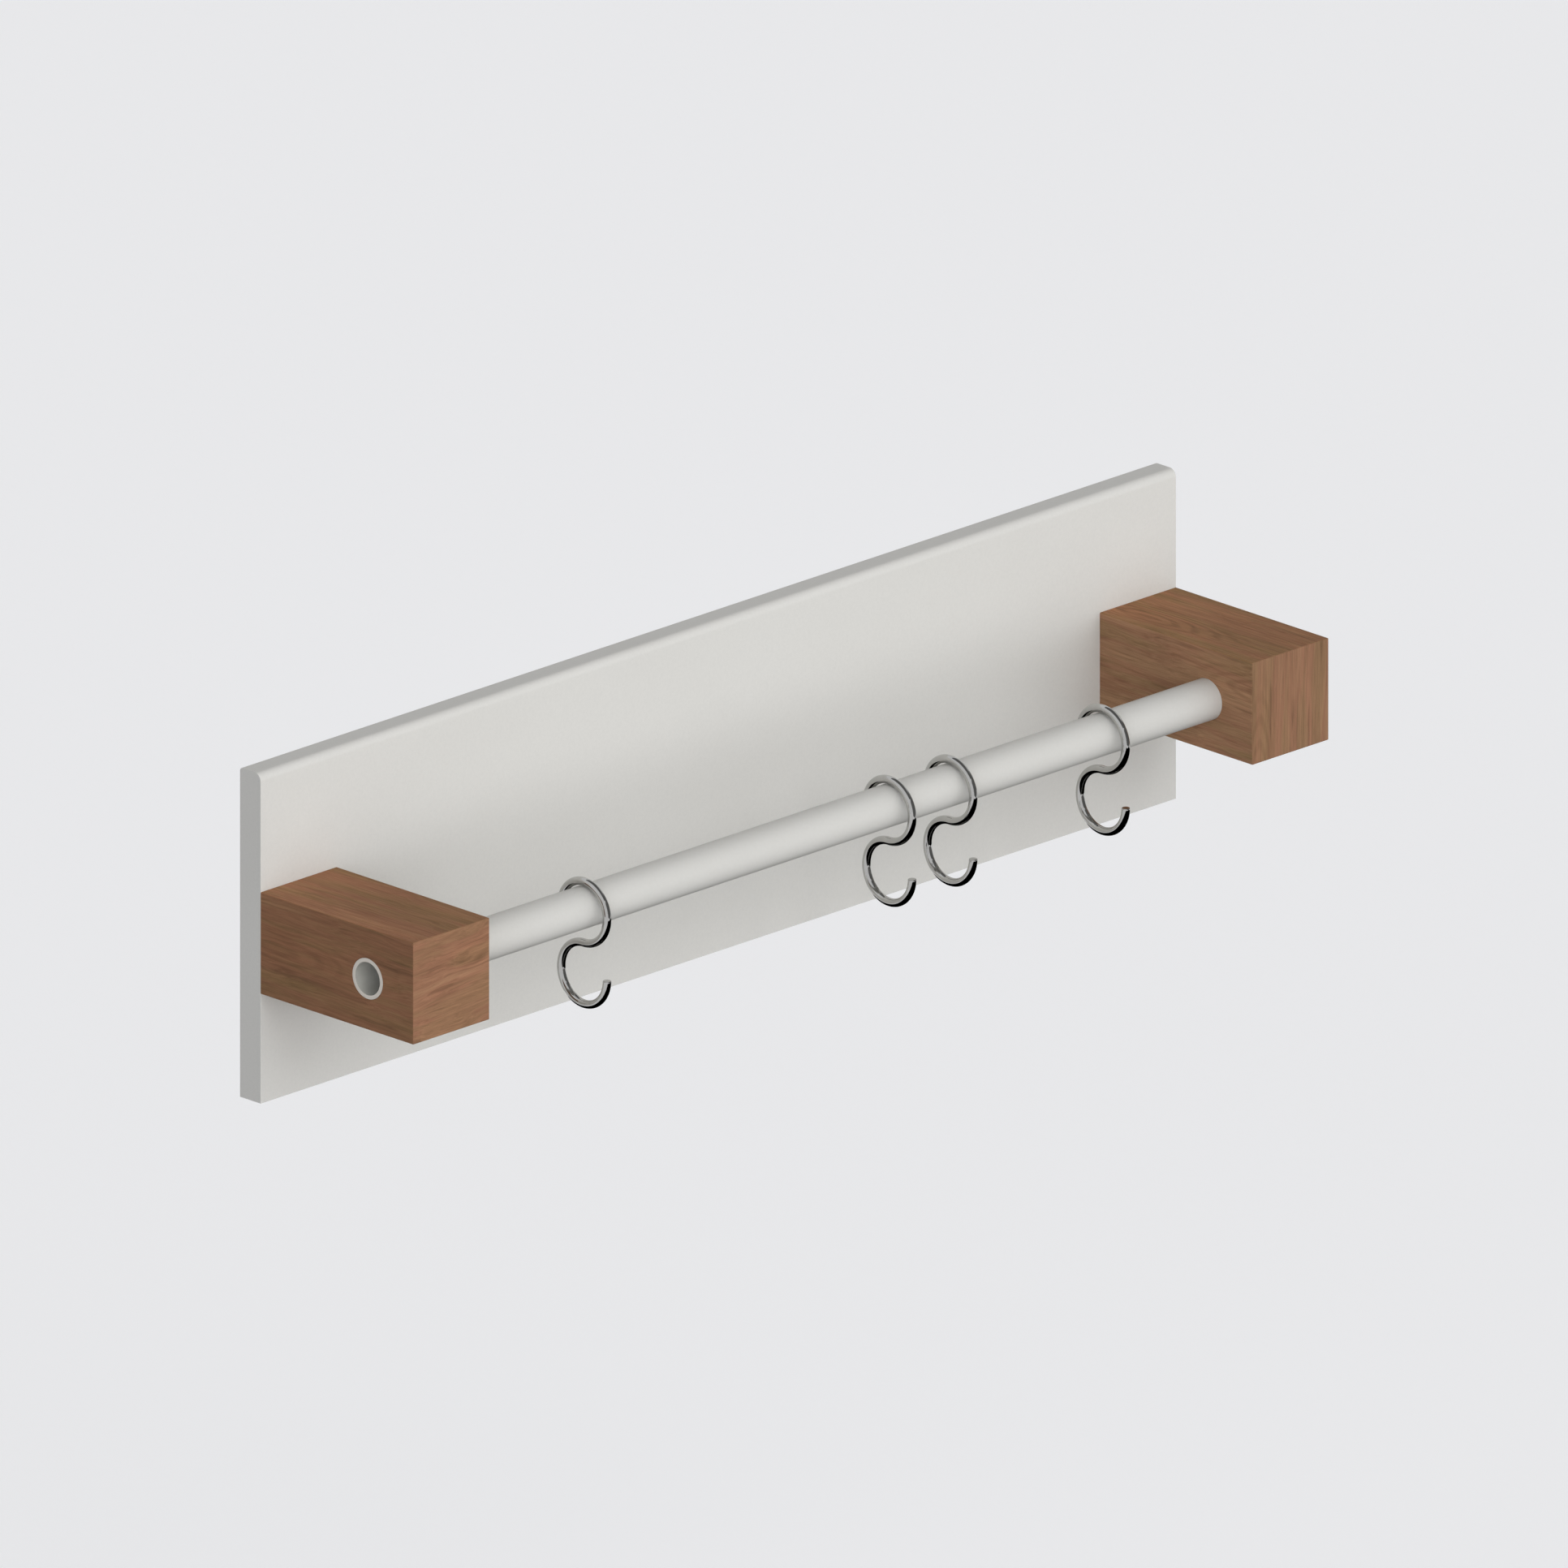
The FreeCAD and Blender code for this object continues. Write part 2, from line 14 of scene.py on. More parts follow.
import bmesh
import bpy
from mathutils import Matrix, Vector


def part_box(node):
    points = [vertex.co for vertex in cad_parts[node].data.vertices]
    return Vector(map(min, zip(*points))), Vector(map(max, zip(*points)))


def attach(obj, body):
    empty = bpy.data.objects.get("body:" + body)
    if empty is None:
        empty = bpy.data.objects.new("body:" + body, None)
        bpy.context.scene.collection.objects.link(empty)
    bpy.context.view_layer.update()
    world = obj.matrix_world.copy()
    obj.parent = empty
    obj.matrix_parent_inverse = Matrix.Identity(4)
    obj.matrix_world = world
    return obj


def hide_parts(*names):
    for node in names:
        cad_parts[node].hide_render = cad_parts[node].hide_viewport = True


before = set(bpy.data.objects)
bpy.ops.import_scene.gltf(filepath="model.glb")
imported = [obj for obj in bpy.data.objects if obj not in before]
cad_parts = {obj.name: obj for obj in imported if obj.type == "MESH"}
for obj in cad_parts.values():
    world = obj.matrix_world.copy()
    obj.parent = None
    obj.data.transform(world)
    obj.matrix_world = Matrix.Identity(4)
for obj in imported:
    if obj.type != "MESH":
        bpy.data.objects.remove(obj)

LOG = logging.getLogger("utensil_rail")

Point = tuple[float, float, float]
Colour = tuple[float, float, float]
Socket = bpy.types.NodeSocket
Inputs = dict[str | int, Socket | float | tuple[float, ...]]
EdgeTest = Callable[[bmesh.types.BMEdge], bool]
FaceTest = Callable[[bmesh.types.BMFace], bool]

STATIC_BODY = "rail_unit"
SIDES = ("left", "right")
LEVELS = ("upper", "lower")
HOOKS = ("hook_1", "hook_2", "hook_3", "hook_4")
TO_WALL = Vector((0.0, 1.0, 0.0))
DOWN = Vector((0.0, 0.0, -1.0))

# How near two points lie that are one place, and how near two corners that are merged.
NEAR = 2e-5
MERGED = 1e-7
# The least share of a normal along the axis that its face looks along.
FACING = 0.9
# The least turn of an edge where a tube or a wire was cut off.
CUT_EDGE = math.radians(60)


class Axis(Enum):
    """A direction of the frame, as the turn that brings a cylinder's own axis onto it."""

    X = (0.0, math.pi / 2, 0.0)
    Y = (-math.pi / 2, 0.0, 0.0)
    Z = (0.0, 0.0, 0.0)


class Element(Enum):
    """What a selection in edit mode is made of."""

    EDGES = "EDGE"
    FACES = "FACE"


class Slot(Enum):
    """The material slots of the part's record."""

    BOARD = "board_paint"
    BLOCK = "block_wood"
    RAIL = "rail_paint"
    HOOK = "hook_chrome"
    STEEL = "plated_steel"


def edge_middle(edge: bmesh.types.BMEdge) -> Vector:
    """Finds the middle of an edge.

    Args:
        edge: the edge.

    Returns:
        The middle.
    """
    return (edge.verts[0].co + edge.verts[1].co) / 2


def runs_along(edge: bmesh.types.BMEdge, axis: int) -> bool:
    """Says whether an edge is parallel to a frame axis.

    Args:
        edge: the edge.
        axis: the axis, as 0, 1 or 2.

    Returns:
        Whether it is.
    """
    run = edge.verts[1].co - edge.verts[0].co
    return abs(run[axis]) > 0.999 * run.length


def node_box(node: str) -> tuple[Vector, Vector]:
    """Reads a solid's box, to a tenth of a millimetre.

    Args:
        node: the solid's name.

    Returns:
        Its lowest and highest corner.
    """
    low, high = (Vector(round(number, 4) for number in corner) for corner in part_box(node))
    return low, high


def node_centre(node: str) -> Vector:
    """Reads the middle of a solid's box.

    Args:
        node: the solid's name.

    Returns:
        The middle.
    """
    low, high = node_box(node)
    return (low + high) / 2


class Piece:
    """A mesh on the bench: a primitive that edit-mode steps and applied modifiers shape."""

    def __init__(self, name: str) -> None:
        """Takes the primitive that was just added, and puts its place into its mesh.

        Args:
            name: the piece's name.
        """
        self.thing: bpy.types.Object = bpy.context.object
        self.thing.name = name
        self.thing.data.name = name
        self.settle()

    @classmethod
    def cuboid(cls, name: str, low: Sequence[float], high: Sequence[float]) -> "Piece":
        """Adds a rectangular block.

        Args:
            name: the piece's name.
            low: its lowest corner.
            high: its highest corner.

        Returns:
            The new piece.
        """
        middle = (Vector(low) + Vector(high)) / 2
        size = Vector(high) - Vector(low)
        bpy.ops.mesh.primitive_cube_add(size=1.0, location=middle, scale=size)
        return cls(name)

    @classmethod
    def rod(
        cls, name: str, radius: float, length: float, middle: Sequence[float], axis: Axis, sides: int = 64
    ) -> "Piece":
        """Adds a round rod.

        Args:
            name: the piece's name.
            radius: its radius.
            length: its length.
            middle: its middle point.
            axis: the direction that it lies along.
            sides: how many flats it is drawn with.

        Returns:
            The new piece.
        """
        bpy.ops.mesh.primitive_cylinder_add(
            vertices=sides, radius=radius, depth=length, location=middle, rotation=axis.value
        )
        return cls(name)

    @classmethod
    def disc(
        cls, name: str, radius: float, middle: Sequence[float], axis: Axis, sides: int = 48
    ) -> "Piece":
        """Adds a filled disc that faces along an axis.

        Args:
            name: the piece's name.
            radius: its radius.
            middle: its centre.
            axis: the direction that it faces.
            sides: how many straight edges its rim has.

        Returns:
            The new piece.
        """
        bpy.ops.mesh.primitive_circle_add(
            vertices=sides, radius=radius, fill_type="NGON", location=middle, rotation=axis.value
        )
        return cls(name)

    def settle(self) -> None:
        """Moves the object's place, turn and scale into its mesh."""
        self.take_up()
        bpy.ops.object.transform_apply(location=True, rotation=True, scale=True)

    def take_up(self) -> None:
        """Makes this the one selected and active object."""
        bpy.ops.object.select_all(action="DESELECT")
        self.thing.select_set(True)
        bpy.context.view_layer.objects.active = self.thing

    def open(self, kind: Element, test: Callable[..., bool]) -> None:
        """Enters edit mode with the elements selected that pass a test.

        Args:
            kind: whether the test looks at edges or at faces.
            test: says whether an element is wanted.
        """
        self.take_up()
        bpy.ops.object.mode_set(mode="EDIT")
        bpy.ops.mesh.select_mode(type=kind.value)
        bpy.ops.mesh.select_all(action="DESELECT")
        mesh = bmesh.from_edit_mesh(self.thing.data)
        for element in getattr(mesh, kind.name.lower()):
            element.select_set(test(element))
        mesh.select_flush_mode()
        bmesh.update_edit_mesh(self.thing.data)

    def close(self) -> None:
        """Leaves edit mode."""
        bpy.ops.object.mode_set(mode="OBJECT")

    def round_edges(self, test: EdgeTest, radius: float, steps: int) -> None:
        """Rounds the edges that pass a test.

        Args:
            test: says whether an edge is rounded.
            radius: the radius of the rounding.
            steps: how many facets it is made of.
        """
        self.open(Element.EDGES, test)
        bpy.ops.mesh.bevel(offset=radius, segments=steps, affect="EDGES", clamp_overlap=True)
        bpy.ops.mesh.select_all(action="SELECT")
        bpy.ops.mesh.remove_doubles(threshold=MERGED)
        self.close()

    def soften(self, width: float, sharper_than: float = math.radians(50), steps: int = 2) -> None:
        """Takes the sharpness off every edge that turns more than an angle.

        Args:
            width: the width of the softening.
            sharper_than: the least angle between the two faces.
            steps: how many facets it is made of.
        """
        self.round_edges(lambda edge: edge.calc_face_angle(0.0) > sharper_than, width, steps)

    def grow(self, test: FaceTest, steps: Iterable[tuple[Vector, float]]) -> None:
        """Extrudes a face several times, scaling its end about its own centre each time.

        Args:
            test: says which face is extruded.
            steps: for each extrusion, how far it goes and by how much its end is scaled.
        """
        self.open(Element.FACES, test)
        mesh = bmesh.from_edit_mesh(self.thing.data)
        chosen = [face for face in mesh.faces if face.select]
        place = sum((face.calc_center_median() for face in chosen), Vector()) / len(chosen)
        for travel, scale in steps:
            bpy.ops.mesh.extrude_region_move(TRANSFORM_OT_translate={"value": travel})
            place = place + travel
            bpy.ops.transform.resize(value=(scale, scale, scale), center_override=place)
        self.close()

    def narrow(self, test: FaceTest, scale: float) -> None:
        """Scales a face about its own centre.

        Args:
            test: says which face is scaled.
            scale: by how much.
        """
        self.open(Element.FACES, test)
        mesh = bmesh.from_edit_mesh(self.thing.data)
        place = next(face.calc_center_median() for face in mesh.faces if face.select)
        bpy.ops.transform.resize(value=(scale, scale, scale), center_override=place)
        self.close()

    def modify(self, kind: str, **settings: object) -> None:
        """Adds a modifier and applies it.

        Args:
            kind: the kind of modifier.
            settings: its settings.
        """
        self.take_up()
        bpy.ops.object.modifier_add(type=kind)
        modifier = self.thing.modifiers[-1]
        for name, choice in settings.items():
            setattr(modifier, name, choice)
        bpy.ops.object.modifier_apply(modifier=modifier.name)

    def carve(self, cutter: "Piece") -> None:
        """Cuts another piece's volume out of this one, and puts the other away.

        Args:
            cutter: the piece whose volume is removed.
        """
        self.modify("BOOLEAN", operation="DIFFERENCE", solver="EXACT", object=cutter.thing)
        cutter.discard()

    def countersink(
        self, mouth_at: Vector, out: Vector, sizes: Point, depth: float, beyond: float
    ) -> None:
        """Drills a countersunk hole.

        Args:
            mouth_at: the middle of its mouth, on the surface.
            out: the direction out of the surface, along Y or Z.
            sizes: the hole's radius, its mouth's radius and the depth of its cone.
            depth: how far it goes on below its cone.
            beyond: how far the cutter stands out of the surface.
        """
        radius, mouth, cone = sizes
        start = mouth_at - cone * out
        drill = Piece.disc("drill", radius, start, Axis.Y if out.y else Axis.Z)
        drill.grow(
            lambda face: True,
            [(cone * out, mouth / radius), (beyond * out, (mouth + beyond) / mouth)],
        )
        drill.grow(
            lambda face: (face.calc_center_median() - start).length < NEAR, [(-depth * out, 1.0)]
        )
        drill.mend()
        self.carve(drill)

    def mend(self) -> None:
        """Merges doubled corners and turns every face outwards."""
        self.open(Element.FACES, lambda face: True)
        bpy.ops.mesh.remove_doubles(threshold=MERGED)
        bpy.ops.mesh.normals_make_consistent(inside=False)
        self.close()

    def join(self, other: "Piece") -> None:
        """Makes another piece's mesh part of this one.

        Args:
            other: the piece that is taken in.
        """
        spent = other.thing.data
        self.take_up()
        other.thing.select_set(True)
        bpy.ops.object.join()
        bpy.data.meshes.remove(spent)

    def copy(
        self, name: str, turn: Point = (0.0, 0.0, 0.0), move: Sequence[float] = (0.0, 0.0, 0.0)
    ) -> "Piece":
        """Copies the piece with a mesh of its own, and puts the copy in its place.

        Args:
            name: the copy's name.
            turn: how the copy is turned about X, Y and Z.
            move: how far it is then moved.

        Returns:
            The copy.
        """
        self.take_up()
        bpy.ops.object.duplicate(linked=False)
        twin = bpy.context.object
        twin.rotation_euler = turn
        twin.location = move
        return Piece(name)

    def discard(self) -> None:
        """Deletes the piece and its mesh."""
        mesh = self.thing.data
        bpy.data.objects.remove(self.thing, do_unlink=True)
        bpy.data.meshes.remove(mesh)

    def smooth(self, angle: float = math.radians(32)) -> None:
        """Shades the curved surfaces smooth and keeps the flat ones flat.

        Args:
            angle: the least turn that stays a hard edge.
        """
        self.take_up()
        bpy.ops.object.shade_smooth_by_angle(angle=angle)
        self.modify("WEIGHTED_NORMAL", keep_sharp=True)

    def paint(self, *materials: bpy.types.Material) -> None:
        """Gives the piece its materials, with every face in the first.

        Args:
            materials: the materials, one for each slot.
        """
        self.thing.data.materials.clear()
        for material in materials:
            self.thing.data.materials.append(material)

    def paint_faces(self, index: int, test: FaceTest) -> None:
        """Gives some faces another of the piece's materials.

        Args:
            index: which of the materials, counted from 0.
            test: says whether a face gets it.
        """
        self.open(Element.FACES, test)
        self.thing.active_material_index = index
        bpy.ops.object.material_slot_assign()
        self.close()

    def fit(self, node: str, body: str, slot: Slot) -> None:
        """Puts the finished piece in the place of a solid.

        Args:
            node: the solid that it stands for.
            body: the body that it moves with.
            slot: the record's slot for its finish; not used.
        """
        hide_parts(node)
        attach(self.thing, body)
        LOG.info("%s: %d faces, on %s", self.thing.name, len(self.thing.data.polygons), body)


class Nodes:
    """The node tree of a material or of the world, while it is put together."""

    def __init__(
        self, owner: bpy.types.Material | bpy.types.World, output: str = "ShaderNodeOutputMaterial"
    ) -> None:
        """Empties the tree and gives it an output.

        Args:
            owner: the material or the world.
            output: the kind of output.
        """
        owner.use_nodes = True
        self.tree = owner.node_tree
        self.tree.nodes.clear()
        self.output = self.tree.nodes.new(output)

    def add(self, kind: str, inputs: Inputs | None = None, **settings: str) -> bpy.types.Node:
        """Adds a node.

        Args:
            kind: the kind of node.
            inputs: what its inputs get, by name or number.
            settings: its settings, chosen before its inputs are fed.

        Returns:
            The node.
        """
        node = self.tree.nodes.new(kind)
        for name, choice in settings.items():
            setattr(node, name, choice)
        self.feed(node, inputs or {})
        return node

    def feed(self, node: bpy.types.Node, inputs: Inputs) -> None:
        """Links a node's inputs to other nodes' outputs, or gives them fixed values.

        Args:
            node: the node.
            inputs: the outputs and values, by the input's name or number.
        """
        for name, source in inputs.items():
            if isinstance(source, Socket):
                self.tree.links.new(source, node.inputs[name])
            else:
                node.inputs[name].default_value = source

    def close(self, surface: Socket) -> None:
        """Feeds the tree's output.

        Args:
            surface: the finished shader.
        """
        self.feed(self.output, {"Surface": surface})

    def seen(self) -> Socket:
        """Tells rays that show the background from rays that only carry light.

        Returns:
            One for camera, glossy and transmission rays, and zero for the others.
        """
        path = self.add("ShaderNodeLightPath")
        seen = path.outputs["Is Camera Ray"]
        for ray in ("Is Glossy Ray", "Is Transmission Ray"):
            either = self.add("ShaderNodeMath", {0: seen, 1: path.outputs[ray]}, operation="MAXIMUM")
            seen = either.outputs["Value"]
        return seen


class Recipe(Nodes):
    """A material with one surface shader, while its patterns are put together."""

    def __init__(self, name: str, seed: float = 0.0) -> None:
        """Starts the material.

        Args:
            name: the material's name.
            seed: picks one of many like patterns.
        """
        self.seed = seed
        self.material = bpy.data.materials.new(name)
        super().__init__(self.material)
        self.surface = self.add("ShaderNodeBsdfPrincipled")
        self.close(self.surface.outputs["BSDF"])

    def coordinates(
        self, size: Point, centre: Point = (0.0, 0.0, 0.0), turn: Point = (0.0, 0.0, 0.0)
    ) -> Socket:
        """Reads the object's own coordinates as a pattern's, by the size of its marks.

        Args:
            size: the size of a mark along X, Y and Z.
            centre: where the pattern is centred.
            turn: how the pattern is turned about X, Y and Z.

        Returns:
            The coordinates, in which a mark is about one unit long each way.
        """
        source = self.add("ShaderNodeTexCoord").outputs["Object"]
        inputs = {"Vector": source, "Location": centre, "Rotation": turn, "Scale": size}
        return self.add("ShaderNodeMapping", inputs, vector_type="TEXTURE").outputs["Vector"]

    def noise(self, place: Socket, detail: float = 2.0, roughness: float = 0.5) -> Socket:
        """Adds a cloudy pattern.

        Args:
            place: the coordinates that it reads.
            detail: how many finer layers it has.
            roughness: how strong the finer layers are.

        Returns:
            The pattern, from 0 to 1.
        """
        inputs = {"Vector": place, "W": self.seed, "Scale": 1.0, "Detail": detail, "Roughness": roughness}
        return self.add("ShaderNodeTexNoise", inputs, noise_dimensions="4D").outputs["Fac"]

    def shells(self, place: Socket, wobble: float) -> Socket:
        """Adds nested shells round the pattern's centre, about one unit apart.

        Args:
            place: the coordinates that it reads.
            wobble: how far the shells stray from true ones.

        Returns:
            The pattern, from 0 to 1.
        """
        inputs = {"Vector": place, "Scale": 0.3, "Distortion": wobble, "Detail": 3.0, "Detail Scale": 0.8}
        node = self.add("ShaderNodeTexWave", inputs, wave_type="RINGS", rings_direction="SPHERICAL")
        return node.outputs["Fac"]

    def ball(self, place: Socket) -> Socket:
        """Adds a soft ball of one unit's radius round the pattern's centre.

        Args:
            place: the coordinates that it reads.

        Returns:
            The pattern, from 1 in the middle to 0 at one unit and beyond.
        """
        node = self.add("ShaderNodeTexGradient", {"Vector": place}, gradient_type="SPHERICAL")
        return node.outputs["Fac"]

    def offset(self, place: Socket, cloud: Socket, reach: Point) -> Socket:
        """Shifts coordinates by a pattern, to make straight lines wander.

        Args:
            place: the coordinates.
            cloud: the pattern, from 0 to 1.
            reach: how far a full swing moves them along X, Y and Z.

        Returns:
            The shifted coordinates.
        """
        inputs = {0: cloud, 1: reach, 2: place}
        return self.add("ShaderNodeVectorMath", inputs, operation="MULTIPLY_ADD").outputs["Vector"]

    def ramp(self, fac: Socket, stops: Sequence[tuple[float, Colour]]) -> Socket:
        """Turns a pattern into colours.

        Args:
            fac: the pattern.
            stops: places from 0 to 1 with their linear colours.

        Returns:
            The colour.
        """
        node = self.add("ShaderNodeValToRGB", {"Fac": fac})
        elements = node.color_ramp.elements
        while len(elements) < len(stops):
            elements.new(0.5)
        for element, (place, colour) in zip(elements, stops):
            element.position = place
            element.color = (*colour, 1.0)
        return node.outputs["Color"]

    def spread(self, fac: Socket, source: tuple[float, float], target: tuple[float, float]) -> Socket:
        """Maps a pattern from one range onto another, and holds it there.

        Args:
            fac: the pattern.
            source: its lowest and highest value of interest.
            target: what they become.

        Returns:
            The mapped pattern.
        """
        limits = zip(("From Min", "From Max", "To Min", "To Max"), (*source, *target))
        return self.add("ShaderNodeMapRange", {"Value": fac, **dict(limits)}).outputs["Result"]

    def blend(self, mode: str, fac: Socket | float, below: Socket, above: Socket) -> Socket:
        """Lays one colour over another.

        Args:
            mode: the way that they mix, such as MULTIPLY.
            fac: how much of the upper one shows.
            below: the lower colour.
            above: the upper colour.

        Returns:
            The mixed colour.
        """
        inputs = {0: fac, 6: below, 7: above}
        return self.add("ShaderNodeMix", inputs, data_type="RGBA", blend_type=mode).outputs[2]

    def relief(self, height: Socket, depth: float, strength: float = 1.0) -> None:
        """Raises the surface by a pattern.

        Args:
            height: the pattern, from 0 to 1.
            depth: the height of a full swing.
            strength: how much of it shows.
        """
        inputs = {"Height": height, "Distance": depth, "Strength": strength}
        bump = self.add("ShaderNodeBump", inputs)
        self.feed(self.surface, {"Normal": bump.outputs["Normal"]})


@dataclass(frozen=True)
class Paint:
    """Satin paint with a fine stipple.

    Attributes:
        name: the material's name.
        light: its linear colour where the film is thick.
        dark: its linear colour in the hollows of the stipple.
        stipple: the size of the stipple's grains.
        relief: how high the stipple stands.
        gloss: the lowest and highest roughness.
        shine: how much it reflects.
        cloud: the size of the broad places where it is a little darker.
        cloud_at: where their pattern is centred.
        cloud_tone: the red, green and blue that they keep.
    """

    name: str
    light: Colour
    dark: Colour
    stipple: float
    relief: float
    gloss: tuple[float, float]
    shine: float = 0.30
    cloud: float = 0.06
    cloud_at: Point = (0.02, 0.01, 0.03)
    cloud_tone: Colour = (0.985, 0.984, 0.982)

    def material(self) -> bpy.types.Material:
        """Builds the material.

        Returns:
            The material.
        """
        recipe = Recipe(self.name)
        fine = recipe.noise(recipe.coordinates((self.stipple,) * 3), detail=3.0, roughness=0.6)
        broad = recipe.noise(recipe.coordinates((self.cloud,) * 3, self.cloud_at), detail=3.0)
        tone = recipe.ramp(fine, ((0.32, self.dark), (0.62, self.light)))
        cloud = recipe.ramp(broad, ((0.3, self.cloud_tone), (0.7, (1.0, 1.0, 1.0))))
        surface = {
            "Base Color": recipe.blend("MULTIPLY", 1.0, tone, cloud),
            "Roughness": recipe.spread(fine, (0.3, 0.7), self.gloss),
            "Specular IOR Level": self.shine,
        }
        recipe.feed(recipe.surface, surface)
        recipe.relief(fine, self.relief)
        return recipe.material


@dataclass(frozen=True)
class Chrome:
    """Polished chrome plating with faint polishing haze.

    Attributes:
        name: the material's name.
        bright: its linear colour where it is cleanest.
        dull: its linear colour where it is hazed.
        haze: the lowest and highest roughness.
        cloud: the size of the hazed places.
        relief: how high the haze stands.
    """

    name: str
    bright: Colour
    dull: Colour
    haze: tuple[float, float]
    cloud: float = 0.004
    relief: float = 4e-6

    def material(self) -> bpy.types.Material:
        """Builds the material.

        Returns:
            The material.
        """
        recipe = Recipe(self.name)
        cloud = recipe.noise(recipe.coordinates((self.cloud,) * 3), detail=4.0, roughness=0.7)
        surface = {
            "Metallic": 1.0,
            "Base Color": recipe.ramp(cloud, ((0.3, self.bright), (0.7, self.dull))),
            "Roughness": recipe.spread(cloud, (0.3, 0.7), self.haze),
        }
        recipe.feed(recipe.surface, surface)
        recipe.relief(cloud, self.relief)
        return recipe.material


@dataclass(frozen=True)
class ZincPlate:
    """Dull zinc plating, cloudy and lightly scratched.

    Attributes:
        name: the material's name.
        cool: the bluish linear tone.
        warm: the straw-coloured linear tone.
        haze: the lowest and highest roughness.
        cloud: the size of the cloudy places.
        scratch: the size of a scratch along X, Y and Z.
        scratch_turn: how the scratches are turned about X, Y and Z.
        relief: how deep the scratches are.
    """

    name: str
    cool: Colour
    warm: Colour
    haze: tuple[float, float] = (0.30, 0.48)
    cloud: float = 0.0024
    scratch: Point = (0.0004, 0.0004, 0.006)
    scratch_turn: Point = (0.0, 0.5, 0.0)
    relief: float = 8e-6

    def material(self) -> bpy.types.Material:
        """Builds the material.

        Returns:
            The material.
        """
        recipe = Recipe(self.name)
        cloud = recipe.noise(recipe.coordinates((self.cloud,) * 3), detail=4.0, roughness=0.65)
        scratches = recipe.noise(recipe.coordinates(self.scratch, turn=self.scratch_turn))
        surface = {
            "Metallic": 1.0,
            "Base Color": recipe.ramp(cloud, ((0.3, self.cool), (0.7, self.warm))),
            "Roughness": recipe.spread(cloud, (0.25, 0.75), self.haze),
        }
        recipe.feed(recipe.surface, surface)
        recipe.relief(scratches, self.relief, 0.6)
        return recipe.material


class Grain(Enum):
    """Which way the grain runs: the frame axis that it follows, and its turn about X, Y and Z."""

    ALONG_DEPTH = (1, (0.0, 0.0, math.radians(1.5)))
    RISING = (0, (0.0, math.radians(-3.0), 0.0))
    UPRIGHT = (2, (0.0, math.radians(1.5), 0.0))


